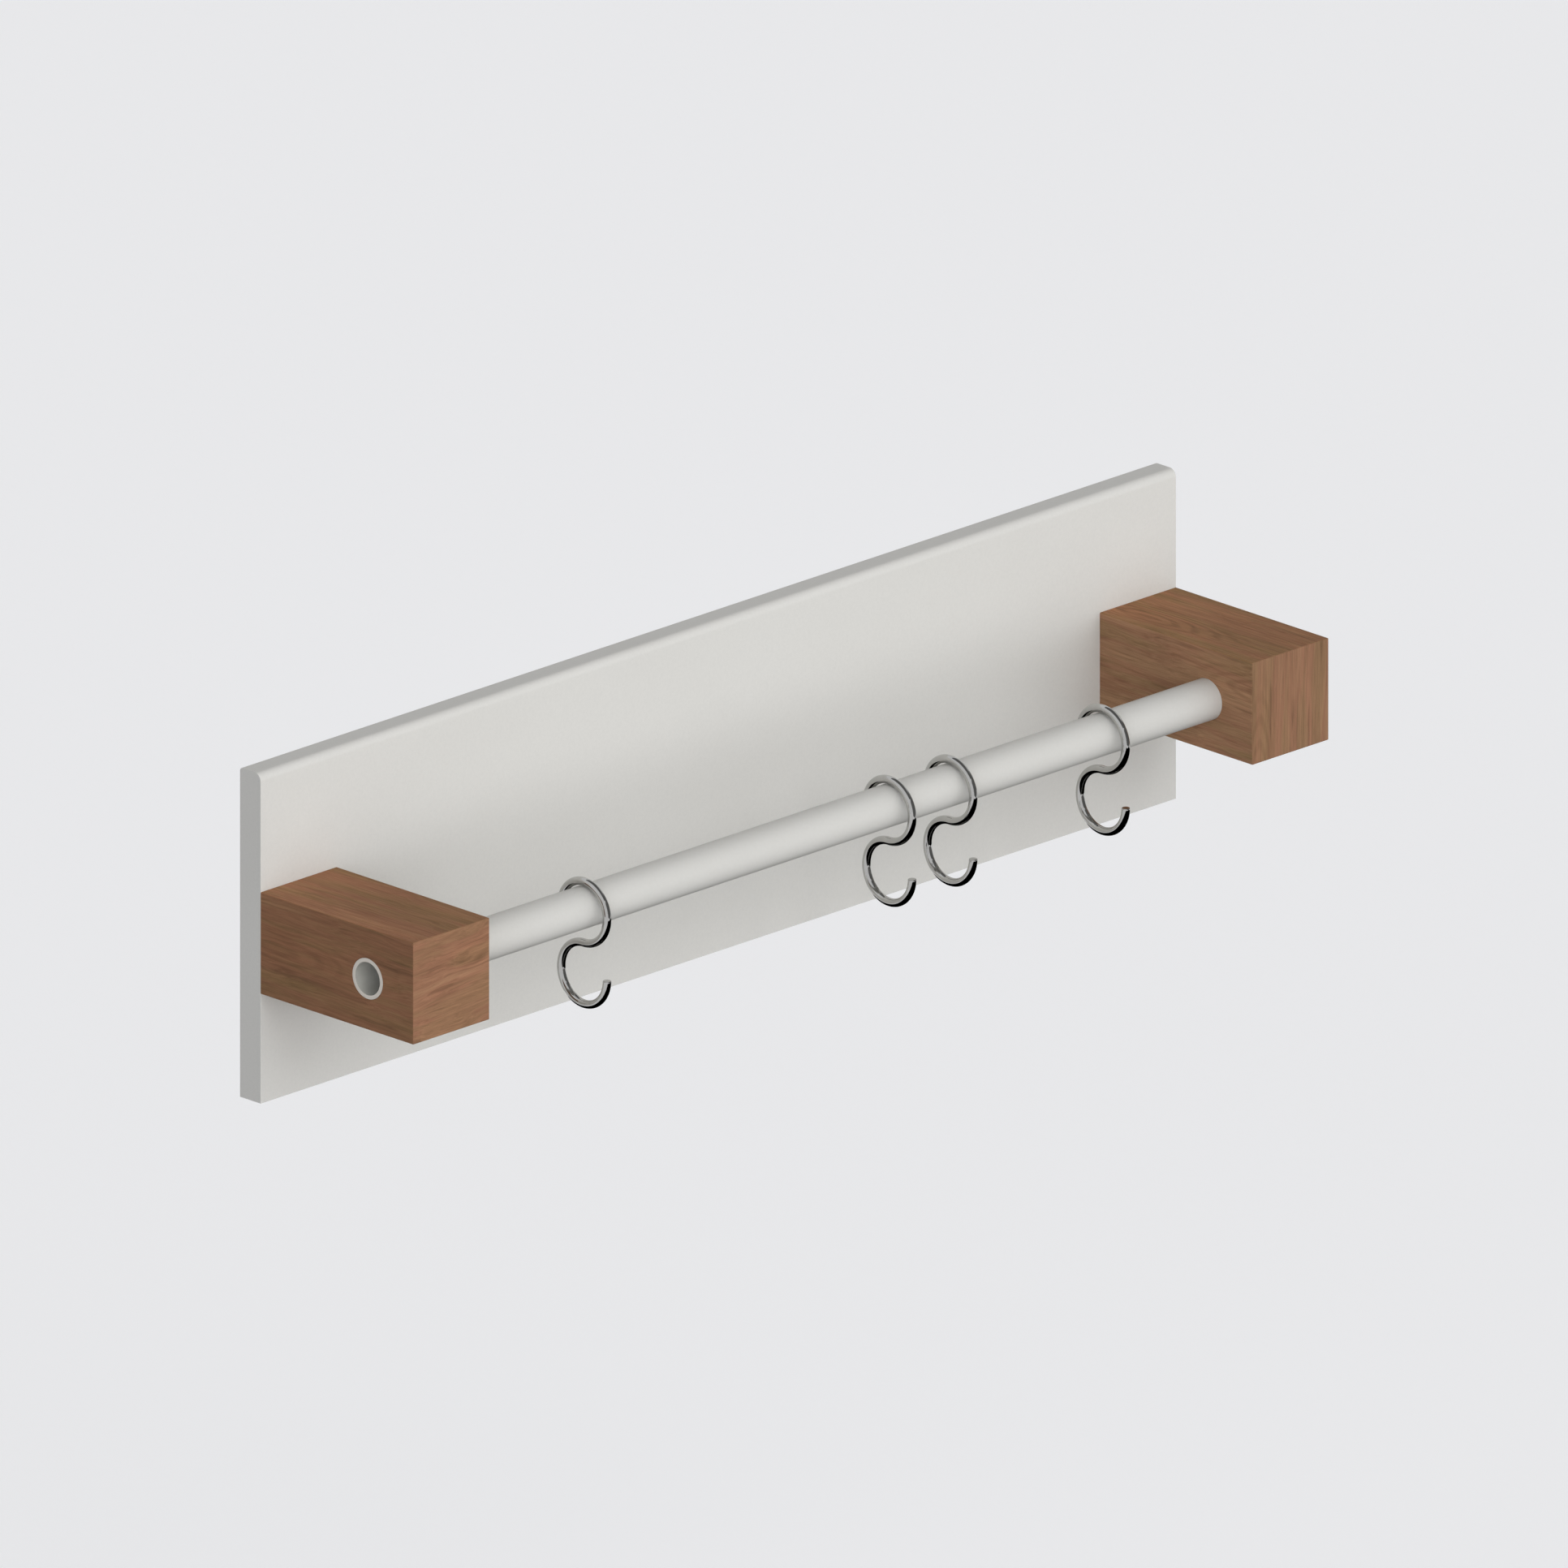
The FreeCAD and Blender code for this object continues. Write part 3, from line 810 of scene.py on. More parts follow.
@dataclass(frozen=True)
class Walnut:
    """Oiled reddish wood: soft olive and red bands, long fine streaks, a few dark veins and pores.

    Attributes:
        name: the material's name.
        grain: which way the grain runs.
        heart: the middle of the flame figure.
        plank: which plank the face was cut from, as a number that picks its pattern.
        flame: how strongly the flame figure shows.
        vein: how dark the veins are.
        depth: how strongly the streaks and lines show.
        painted_light: painted light and shade: how much this face's red, green and blue are raised or
            lowered against the other faces', for how the light falls on it.
        sway: how far the grain lines wander from straight ones.
        figure: how far the flame figure reaches from its middle, across and along the grain.
        wander: the width and length of the waves that the grain wanders by.
        band: the width and length of the olive and red bands.
        cloud: the width and length of the broad lighter and darker places.
        shell: the width and length of the flame figure's rings.
        streak: the width and length of the streaks.
        dark_vein: the width and length of the dark veins.
        line: the width and length of the fine lines.
        pore: the width and length of the pores.
        olive: the olive linear tone of the bands.
        middle: the linear tone between the bands.
        red: the reddish linear tone of the bands.
        light: the lightest linear tone.
        warmth: the red, green and blue that darker and lighter marks keep.
        haze: the roughness in the low and the high lines.
        shine: how much the oiled face reflects.
        relief: how high the lines stand.
    """

    name: str
    grain: Grain
    heart: Point
    plank: float
    flame: float = 0.08
    vein: float = 0.20
    depth: float = 1.3
    painted_light: Colour = (1.0, 1.0, 1.0)
    sway: float = 0.005
    figure: tuple[float, float] = (0.013, 0.062)
    wander: tuple[float, float] = (0.013, 0.040)
    band: tuple[float, float] = (0.008, 0.110)
    cloud: tuple[float, float] = (0.011, 0.050)
    shell: tuple[float, float] = (0.0022, 0.011)
    streak: tuple[float, float] = (0.0014, 0.045)
    dark_vein: tuple[float, float] = (0.003, 0.050)
    line: tuple[float, float] = (0.00045, 0.018)
    pore: tuple[float, float] = (0.00025, 0.004)
    olive: Colour = (0.300, 0.184, 0.096)
    middle: Colour = (0.330, 0.188, 0.106)
    red: Colour = (0.342, 0.178, 0.106)
    light: Colour = (0.372, 0.212, 0.122)
    warmth: Colour = (1.0, 0.985, 0.97)
    haze: tuple[float, float] = (0.66, 0.54)
    shine: float = 0.10
    relief: float = 3e-5

    def along(self, recipe: Recipe, across: float, run: float) -> Socket:
        """Gives coordinates for marks that lie straight along the grain.

        Args:
            recipe: the material that is put together.
            across: the width of a mark.
            run: the length of a mark.

        Returns:
            The coordinates.
        """
        axis, turn = self.grain.value
        size = [across] * 3
        size[axis] = run
        return recipe.coordinates(tuple(size), self.heart, turn)

    def fibres(self, recipe: Recipe, wander: Socket, across: float, run: float) -> Socket:
        """Gives coordinates for marks that wander sideways with the grain.

        Args:
            recipe: the material that is put together.
            wander: the pattern that the grain wanders by.
            across: the width of a mark.
            run: the length of a mark.

        Returns:
            The coordinates.
        """
        reach = [self.sway / across] * 3
        reach[self.grain.value[0]] = 0.0
        return recipe.offset(self.along(recipe, across, run), wander, tuple(reach))

    def layer(
        self,
        recipe: Recipe,
        tone: Socket,
        fac: Socket,
        low: tuple[float, float],
        high: tuple[float, float],
    ) -> Socket:
        """Lays streaks over a tone.

        Args:
            recipe: the material that is put together.
            tone: the colour so far.
            fac: the streaks' pattern.
            low: a place in the pattern, with how bright it leaves the tone.
            high: a higher place, with how bright that leaves it.

        Returns:
            The streaked colour.
        """
        stops = []
        for place, level in (low, high):
            deep = 1.0 + (level - 1.0) * self.depth
            stops.append((place, tuple(deep * channel for channel in self.warmth)))
        return recipe.blend("MULTIPLY", 1.0, tone, recipe.ramp(fac, stops))

    def material(self) -> bpy.types.Material:
        """Builds the material.

        Returns:
            The material.
        """
        recipe = Recipe(self.name, self.plank)
        wander = recipe.noise(self.along(recipe, *self.wander), detail=2.0)
        palette = ((0.36, self.olive), (0.47, self.middle), (0.54, self.red), (0.68, self.light))
        # Painted light and shade: the palette is made lighter or darker for this face, for how the light
        # falls on it.
        painted_light_tones = [
            (place, tuple(channel * painted_light for channel, painted_light in zip(tone, self.painted_light)))
            for place, tone in palette
        ]
        bands = recipe.noise(self.fibres(recipe, wander, *self.band), detail=2.5)
        tone = recipe.ramp(bands, painted_light_tones)
        clouds = recipe.noise(self.fibres(recipe, wander, *self.cloud), detail=1.0)
        tone = self.layer(recipe, tone, clouds, (0.34, 0.955), (0.66, 1.035))
        flame = recipe.shells(self.fibres(recipe, wander, *self.shell), 3.0)
        inside = recipe.spread(recipe.ball(self.along(recipe, *self.figure)), (0.0, 0.4), (0.0, 1.0))
        flamed = self.layer(recipe, tone, flame, (0.1, 1.0 - self.flame), (0.7, 1.0 + self.flame / 2))
        tone = recipe.blend("MIX", inside, tone, flamed)
        streaks = recipe.noise(self.fibres(recipe, wander, *self.streak), detail=3.0, roughness=0.6)
        tone = self.layer(recipe, tone, streaks, (0.36, 0.90), (0.60, 1.04))
        veins = recipe.noise(self.fibres(recipe, wander, *self.dark_vein), detail=3.0)
        tone = self.layer(recipe, tone, veins, (0.58, 1.0), (0.70, 1.0 - self.vein))
        lines = recipe.noise(self.fibres(recipe, wander, *self.line), detail=3.0, roughness=0.6)
        tone = self.layer(recipe, tone, lines, (0.36, 0.90), (0.62, 1.05))
        pores = recipe.noise(self.along(recipe, *self.pore))
        tone = self.layer(recipe, tone, pores, (0.64, 1.0), (0.76, 0.84))

        surface = {
            "Base Color": tone,
            "Roughness": recipe.spread(lines, (0.3, 0.7), self.haze),
            "Specular IOR Level": self.shine,
        }
        recipe.feed(recipe.surface, surface)
        recipe.relief(lines, self.relief, 0.5)
        return recipe.material


@dataclass(frozen=True)
class ScrewSize:
    """One size of countersunk, cross-recessed wood screw.

    Attributes:
        core: the shank's diameter, at the bottom of the thread.
        thread: the outside diameter of the thread.
        head: the head's diameter.
        rim: the height of the head's upright rim.
        length: the whole length.
        taper: the length of the point's taper.
        point: the diameter of the point's end.
        recess: the span, width and depth of the cross recess.
        pitch: how far the thread climbs in one turn.
        plain: the length of plain shank under the head's cone.
    """

    core: float
    thread: float
    head: float
    rim: float
    length: float
    taper: float
    point: float
    recess: Point
    pitch: float
    plain: float


class ScrewKind(Enum):
    """The three kinds of screw in the rail."""

    BLOCK = ScrewSize(
        core=0.0036, thread=0.0050, head=0.0094, rim=0.0004, length=0.0500, taper=0.0060, point=0.0006,
        recess=(0.0050, 0.0012, 0.0024), pitch=0.0024, plain=0.0104,
    )
    RAIL = ScrewSize(
        core=0.0030, thread=0.0035, head=0.0070, rim=0.0003, length=0.0160, taper=0.0004, point=0.0024,
        recess=(0.0040, 0.0010, 0.0018), pitch=0.0013, plain=0.0010,
    )
    PLATE = ScrewSize(
        core=0.0024, thread=0.0030, head=0.0056, rim=0.0002, length=0.0080, taper=0.0025, point=0.0004,
        recess=(0.0032, 0.0008, 0.0012), pitch=0.0011, plain=0.0004,
    )


class HeadFaces(Enum):
    """Which way a screw's head faces, as the turn from its place on the bench, head up."""

    WALL = (-math.pi / 2, 0.0, 0.0)
    FLOOR = (math.pi, 0.0, 0.0)


@dataclass
class BackBoard:
    """The painted board that lies on the wall.

    Attributes:
        finish: the board's paint.
        front_round: the radius along the front top edge.
        back_round: the radius along the back top edge.
        arris: how far the other edges are softened.
        screw_hole: the radius of a block screw's hole, of its mouth, and the depth of its cone.
        recess_fit: the clearance round a hanger plate.
        recess_depth: how deep a hanger plate's recess is.
        pocket: the width, height and depth of the hollow behind a keyhole.
        router_beyond: how far the router stands out of the board's back.
    """

    finish: Paint
    front_round: float = 0.0040
    back_round: float = 0.0015
    arris: float = 0.0003
    screw_hole: Point = (0.0026, 0.0053, 0.0027)
    recess_fit: float = 0.0002
    recess_depth: float = 0.0022
    pocket: Point = (0.012, 0.024, 0.0072)
    router_beyond: float = 0.002

    def build(self) -> Piece:
        """Models the board.

        Returns:
            The board.
        """
        low, high = node_box("back_board")
        board = Piece.cuboid("board", low, high)
        for depth, radius, steps in ((low.y, self.front_round, 14), (high.y, self.back_round, 8)):
            corner = Vector((0.0, depth, high.z))
            board.round_edges(lambda edge: (edge_middle(edge) - corner).length < NEAR, radius, steps)
        board.soften(self.arris)
        for side in SIDES:
            self.cut_recess(board, f"hanger_plate_{side}")
            for level in LEVELS:
                place = node_centre(f"block_screw_{side}_{level}")
                place.y = high.y
                board.countersink(place, TO_WALL, self.screw_hole, high.y - low.y, self.arris)
        board.smooth()
        board.paint(self.finish.material())
        board.fit("back_board", STATIC_BODY, Slot.BOARD)
        return board

    def cut_recess(self, board: Piece, plate: str) -> None:
        """Routs the recess for a hanger plate and the hollow behind its keyhole.

        Args:
            board: the piece that is cut.
            plate: the solid of the plate that lies in the recess.
        """
        low, high = node_box(plate)
        middle = node_centre(plate)
        recess = high - low + 2 * Vector((self.recess_fit,) * 3)
        for name, width, height, depth in (
            ("recess", recess.x, recess.z, self.recess_depth),
            ("pocket", *self.pocket),
        ):
            half = Vector((width, 0.0, height)) / 2
            start, end = middle - half, middle + half
            router = Piece.cuboid(name, (start.x, -depth, start.z), (end.x, self.router_beyond, end.z))
            router.round_edges(lambda edge: runs_along(edge, 1), width / 2, 24)
            board.carve(router)


@dataclass
class EndBlock:
    """A wooden block that holds one end of the tube.

    Attributes:
        side: left or right.
        top_wood_with_painted_light: the wood of its top and bottom.
        side_wood_with_painted_light: the wood of its sides.
        front_wood_with_painted_light: the wood of its front.
        edge_round: the easing of its edges.
        bore_fit: the clearance round the tube.
        rail_screw_hole: the radius of the screw hole below, of its mouth, and the depth of its cone.
        drill_beyond: how far the countersink cutter stands out of the block.
        pilot: the radius and depth of the block screws' pilot holes.
        side_facing: the least share of a side's normal along X.
    """

    side: str
    # top_wood_with_painted_light: the wood of its top and bottom, with painted light for how the light
    # falls there. side_wood_with_painted_light: the wood of its sides, with painted light and shade for
    # how the light falls there. front_wood_with_painted_light: the wood of its front, with painted light
    # for how the light falls there.
    top_wood_with_painted_light: Walnut
    side_wood_with_painted_light: Walnut
    front_wood_with_painted_light: Walnut
    edge_round: float = 0.0004
    bore_fit: float = 0.0001
    rail_screw_hole: Point = (0.00185, 0.0040, 0.00215)
    drill_beyond: float = 0.001
    pilot: tuple[float, float] = (0.00185, 0.0370)
    side_facing: float = 0.75

    def build(self) -> Piece:
        """Models the block.

        Returns:
            The block.
        """
        node = f"block_{self.side}"
        low, high = node_box(node)
        tube_low, tube_high = node_box("rail_tube")
        block = Piece.cuboid(f"wood_block_{self.side}", low, high)
        block.round_edges(lambda edge: edge_middle(edge).y < high.y - NEAR, self.edge_round, 3)

        centre = node_centre(node)
        bore_at = Vector((centre.x, (tube_low.y + tube_high.y) / 2, (tube_low.z + tube_high.z) / 2))
        bore = (tube_high.z - tube_low.z) / 2 + self.bore_fit
        block.carve(Piece.rod("bore", bore, 2 * (high.x - low.x), bore_at, Axis.X, 128))
        block.countersink(
            Vector((bore_at.x, bore_at.y, low.z)),
            DOWN,
            self.rail_screw_hole,
            bore_at.z - low.z - self.rail_screw_hole[2],
            self.drill_beyond,
        )
        radius, depth = self.pilot
        for level in LEVELS:
            place = node_centre(f"block_screw_{self.side}_{level}")
            place.y = high.y
            block.carve(Piece.rod("pilot", radius, 2 * depth, place, Axis.Y, 32))
        block.smooth()

        # Each face gets its own copy of the wood, with painted light and shade for the way it faces.
        woods_with_painted_light = (self.top_wood_with_painted_light, self.side_wood_with_painted_light, self.front_wood_with_painted_light)
        block.paint(*(finish.material() for finish in woods_with_painted_light))
        block.paint_faces(1, lambda face: abs(face.normal.x) > self.side_facing)
        block.paint_faces(2, lambda face: face.calc_center_median().y < low.y + self.edge_round / 2)
        block.fit(node, STATIC_BODY, Slot.BLOCK)
        return block


@dataclass
class RailTube:
    """The painted tube that the hooks slide along.

    Attributes:
        finish: the tube's paint.
        end_painted_light: a lighter, warmer copy of its paint on its cut ends, as painted light.
        bore_painted_shade: a darker copy of its paint inside it, as painted shade.
        wall: its wall thickness.
        end_break: the chamfer on its cut ends.
        screw_hole: the radius of the holes that its screws enter.
        end_facing: the least share of a cut end's normal along X.
    """

    finish: Paint
    end_painted_light: Paint
    bore_painted_shade: Paint
    wall: float = 0.002
    end_break: float = 0.00025
    screw_hole: float = 0.00155
    end_facing: float = 0.6

    def build(self) -> Piece:
        """Models the tube.

        Returns:
            The tube.
        """
        low, high = node_box("rail_tube")
        centre = node_centre("rail_tube")
        radius = (high.z - low.z) / 2
        tube = Piece.rod("tube", radius, high.x - low.x, centre, Axis.X, 128)

        tube.open(Element.FACES, lambda face: abs(face.normal.x) > FACING)
        bpy.ops.mesh.inset(thickness=self.wall, use_individual=True)
        tube.close()
        tube.open(Element.FACES, lambda face: abs(face.normal.x) > FACING and len(face.verts) > 4)
        bpy.ops.mesh.bridge_edge_loops()
        tube.close()
        tube.soften(self.end_break, CUT_EDGE)
        for side in SIDES:
            place = node_centre(f"rail_screw_{side}")
            middle = (place.x, place.y, low.z)
            tube.carve(Piece.rod("drill", self.screw_hole, radius, middle, Axis.Z, 32))
        tube.smooth()
        coats = (self.finish, self.bore_painted_shade, self.end_painted_light)
        tube.paint(*(coat.material() for coat in coats))
        # The faces inside the tube get the darker paint, as painted shade in the bore.
        inside = radius - 0.75 * self.wall
        tube.paint_faces(1, lambda face: (face.calc_center_median() - centre).yz.length < inside)
        # The cut ends get the lighter paint, as painted light on the end rings.
        tube.paint_faces(2, lambda face: abs(face.normal.x) > self.end_facing)
        tube.fit("rail_tube", STATIC_BODY, Slot.RAIL)
        return tube


@dataclass
class HookSet:
    """The four chrome S hooks, each bent from one wire.

    Attributes:
        finish: the hooks' plating.
        wire: the wire's radius.
        end_break: the rounding of the wire's cut ends.
        sides: how many flats the wire's section is drawn with.
        steps: how many steps each three-quarter loop is drawn with.
    """

    finish: Chrome
    wire: float = 0.002
    end_break: float = 0.0003
    sides: int = 32
    steps: int = 72

    def build(self) -> list[Piece]:
        """Models one hook and copies it to the places of all four.

        Returns:
            The four hooks.
        """
        low, high = node_box(HOOKS[0])
        bend = (high.y - low.y) / 2 - self.wire
        first = self.bend_wire(node_centre(HOOKS[0]), bend)
        material = self.finish.material()
        hooks = []
        for name in HOOKS:
            hook = first.copy(f"s_{name}", move=node_centre(name) - node_centre(HOOKS[0]))
            hook.smooth()
            hook.paint(material)
            hook.fit(name, name, Slot.HOOK)
            hooks.append(hook)
        first.discard()
        return hooks

    def bend_wire(self, middle: Vector, bend: float) -> Piece:
        """Bends the wire, from the middle of the S out to both ends.

        Args:
            middle: the middle of the S.
            bend: the radius of both loops, at the wire's centre.

        Returns:
            The bent wire.
        """
        loops = []
        for name, way in (("upper_loop", 1.0), ("lower_loop", -1.0)):
            loop = Piece.disc(name, self.wire, middle, Axis.Y, self.sides)
            loop.open(Element.FACES, lambda face: True)
            bpy.ops.mesh.spin(
                steps=self.steps,
                angle=math.radians(270.0),
                center=middle + Vector((0.0, 0.0, way * bend)),
                axis=(1.0, 0.0, 0.0),
            )
            loop.close()
            loop.open(
                Element.FACES,
                lambda face: len(face.verts) > 4 and (face.calc_center_median() - middle).length < NEAR,
            )
            bpy.ops.mesh.delete(type="ONLY_FACE")
            loop.close()
            loops.append(loop)
        wire, lower = loops
        wire.join(lower)
        wire.mend()
        wire.soften(self.end_break, CUT_EDGE, 3)
        return wire


@dataclass
class HangerPlate:
    """A steel plate with a keyhole, let into the board's back.

    Attributes:
        side: left or right.
        finish: the plate's plating.
        keyhole: the diameter of the entry, the width of the slot and the travel between them.
        screw_hole: the radius of a screw's hole, of its mouth, and the depth of its cone.
        drill_beyond: how far the countersink cutter stands out of the plate.
        burr: how far the stamped edges are softened.
    """

    side: str
    finish: bpy.types.Material
    keyhole: Point = (0.010, 0.005, 0.012)
    screw_hole: Point = (0.0016, 0.0032, 0.0016)
    drill_beyond: float = 0.0005
    burr: float = 0.00015

    def build(self) -> Piece:
        """Models the plate.

        Returns:
            The plate.
        """
        node = f"hanger_plate_{self.side}"
        low, high = node_box(node)
        centre = node_centre(node)
        plate = Piece.cuboid(f"keyhole_plate_{self.side}", low, high)
        plate.round_edges(lambda edge: runs_along(edge, 1), (high.x - low.x) / 2, 32)
        plate.soften(self.burr)

        entry, slot, travel = self.keyhole
        foot = centre - Vector((0.0, 0.0, travel / 2))
        depth = 3 * (high.y - low.y)
        plate.carve(Piece.rod("entry", entry / 2, depth, foot, Axis.Y, 64))
        reach = Vector((slot / 2, depth / 2, (travel + slot) / 2))
        cutter = Piece.cuboid("slot", centre - reach, centre + reach)
        cutter.round_edges(lambda edge: runs_along(edge, 1), slot / 2, 16)
        plate.carve(cutter)
        for level in LEVELS:
            place = node_centre(f"plate_screw_{self.side}_{level}")
            place.y = high.y
            plate.countersink(place, TO_WALL, self.screw_hole, high.y - low.y, self.drill_beyond)
        plate.smooth()
        plate.paint(self.finish)
        plate.fit(node, STATIC_BODY, Slot.STEEL)
        return plate


@dataclass
class ScrewSet:
    """The countersunk screws, modelled once for each kind and copied to their places.

    Attributes:
        finish: the screws' plating.
        sides: how many flats the shank is drawn with.
        recess_foot: how wide a cross recess is at its bottom, as a share of its mouth.
        thread_sunk: how deep the thread's foot lies in the core.
    """

    finish: bpy.types.Material
    sides: int = 32
    recess_foot: float = 0.8
    thread_sunk: float = 0.0001

    def build(self) -> list[Piece]:
        """Models the three kinds of screw and copies them to their places.

        Returns:
            All the screws.
        """
        places = {
            ScrewKind.BLOCK: [f"block_screw_{side}_{level}" for side in SIDES for level in LEVELS],
            ScrewKind.RAIL: [f"rail_screw_{side}" for side in SIDES],
            ScrewKind.PLATE: [f"plate_screw_{side}_{level}" for side in SIDES for level in LEVELS],
        }
        screws = []
        for kind, nodes in places.items():
            pattern = self.turn(kind.value)
            for node in nodes:
                low, high = node_box(node)
                place = node_centre(node)
                if kind is ScrewKind.RAIL:
                    place.z, facing = low.z, HeadFaces.FLOOR
                else:
                    place.y, facing = high.y, HeadFaces.WALL
                screw = pattern.copy(f"zinc_{node}", turn=facing.value, move=place)
                screw.smooth()
                screw.paint(self.finish)
                screw.fit(node, STATIC_BODY, Slot.STEEL)
                screws.append(screw)
            pattern.discard()
        return screws

    def turn(self, size: ScrewSize) -> Piece:
        """Makes one screw on the bench, with the top of its head at the origin and its point down.

        Args:
            size: the screw's sizes.

        Returns:
            The screw.
        """
        screw = Piece.disc("screw", size.head / 2, (0.0, 0.0, 0.0), Axis.Z, self.sides)
        cone = (size.head - size.core) / 2
        shank = size.length - size.taper - size.rim - cone
        steps = [
            (Vector((0.0, 0.0, -size.rim)), 1.0),
            (Vector((0.0, 0.0, -cone)), size.core / size.head),
            (Vector((0.0, 0.0, -shank)), 1.0),
            (Vector((0.0, 0.0, -size.taper)), size.point / size.core),
        ]
        screw.grow(lambda face: True, steps)
        screw.mend()
        span, width, depth = size.recess
        for across, along in ((span, width), (width, span)):
            bit = Piece.cuboid("bit", (-across / 2, -along / 2, -depth), (across / 2, along / 2, depth))
            bit.narrow(lambda face: face.normal.z < -FACING, self.recess_foot)
            screw.carve(bit)
        screw.join(self.cut_thread(size, size.rim + cone + size.plain))
        return screw

    def cut_thread(self, size: ScrewSize, start: float) -> Piece:
        """Makes the ridge of a screw's thread.

        Args:
            size: the screw's sizes.
            start: how far below the head's top the thread begins.

        Returns:
            The ridge, closed at both ends.
        """
        height = (size.thread - size.core) / 2 + self.thread_sunk
        turns = int((size.length - size.taper - start) / size.pitch)
        middle = (size.core / 2 - self.thread_sunk + height / 3, 0.0, -start)
        bpy.ops.mesh.primitive_circle_add(
            vertices=3,
            radius=2 * height / 3,
            fill_type="NOTHING",
            location=middle,
            rotation=(math.pi / 2, math.pi / 2, 0.0),
        )
        ridge = Piece("thread")
        ridge.modify(
            "SCREW",
            axis="Z",
            screw_offset=-size.pitch,
            iterations=turns,
            steps=self.sides,
            render_steps=self.sides,
        )
        ridge.open(Element.EDGES, lambda edge: edge.is_boundary)
        bpy.ops.mesh.edge_face_add()
        ridge.close()
        ridge.mend()
        return ridge


@dataclass(frozen=True)
class SoftLamp:
    """A broad, even lamp far from the object.

    Attributes:
        name: the lamp's name.
        azimuth: its direction in degrees, from -Y towards +X.
        elevation: its height above the horizon in degrees.
        strength: how brightly it lights a surface that faces it.
        spread: the angle that it covers in degrees, which softens its shadows.
        tint: its linear colour.
    """

    name: str
    azimuth: float
    elevation: float
    strength: float
    spread: float
    tint: Colour = (1.0, 1.0, 1.0)

    def hang(self) -> None:
        """Adds the lamp to the scene."""
        turn = (math.radians(90.0 - self.elevation), 0.0, math.radians(self.azimuth))
        bpy.ops.object.light_add(type="SUN", location=(0.0, -1.0, 1.0), rotation=turn)
        lamp = bpy.context.object
        lamp.name = self.name
        lamp.data.energy = self.strength
        lamp.data.color = self.tint
        lamp.data.cycles.use_multiple_importance_sampling = False
        lamp.data.angle = math.radians(self.spread)
        lamp.visible_glossy = False


@dataclass(frozen=True)
class Card:
    """A flat card that only the shiny pieces see.

    Attributes:
        name: the card's name.
        centre: its middle.
        size: its width and height.
        turn: its turn about X, Y and Z in degrees, from lying flat.
        tone: how bright it looks in a reflection.
    """

    name: str
    centre: Point
    size: tuple[float, float]
    turn: Point
    tone: float

    def stand(self) -> None:
        """Adds the card to the scene."""
        turn = [math.radians(angle) for angle in self.turn]
        bpy.ops.mesh.primitive_plane_add(size=1.0, location=self.centre, rotation=turn)
        card = bpy.context.object
        card.name = self.name
        card.scale = (*self.size, 1.0)
        bpy.ops.object.transform_apply(location=False, rotation=False, scale=True)
        card.visible_camera = False
        card.visible_diffuse = False
        card.visible_transmission = False
        card.visible_shadow = False
        material = bpy.data.materials.new(self.name)
        nodes = Nodes(material)
        nodes.close(nodes.add("ShaderNodeEmission", {"Strength": self.tone}).outputs["Emission"])
        card.data.materials.append(material)


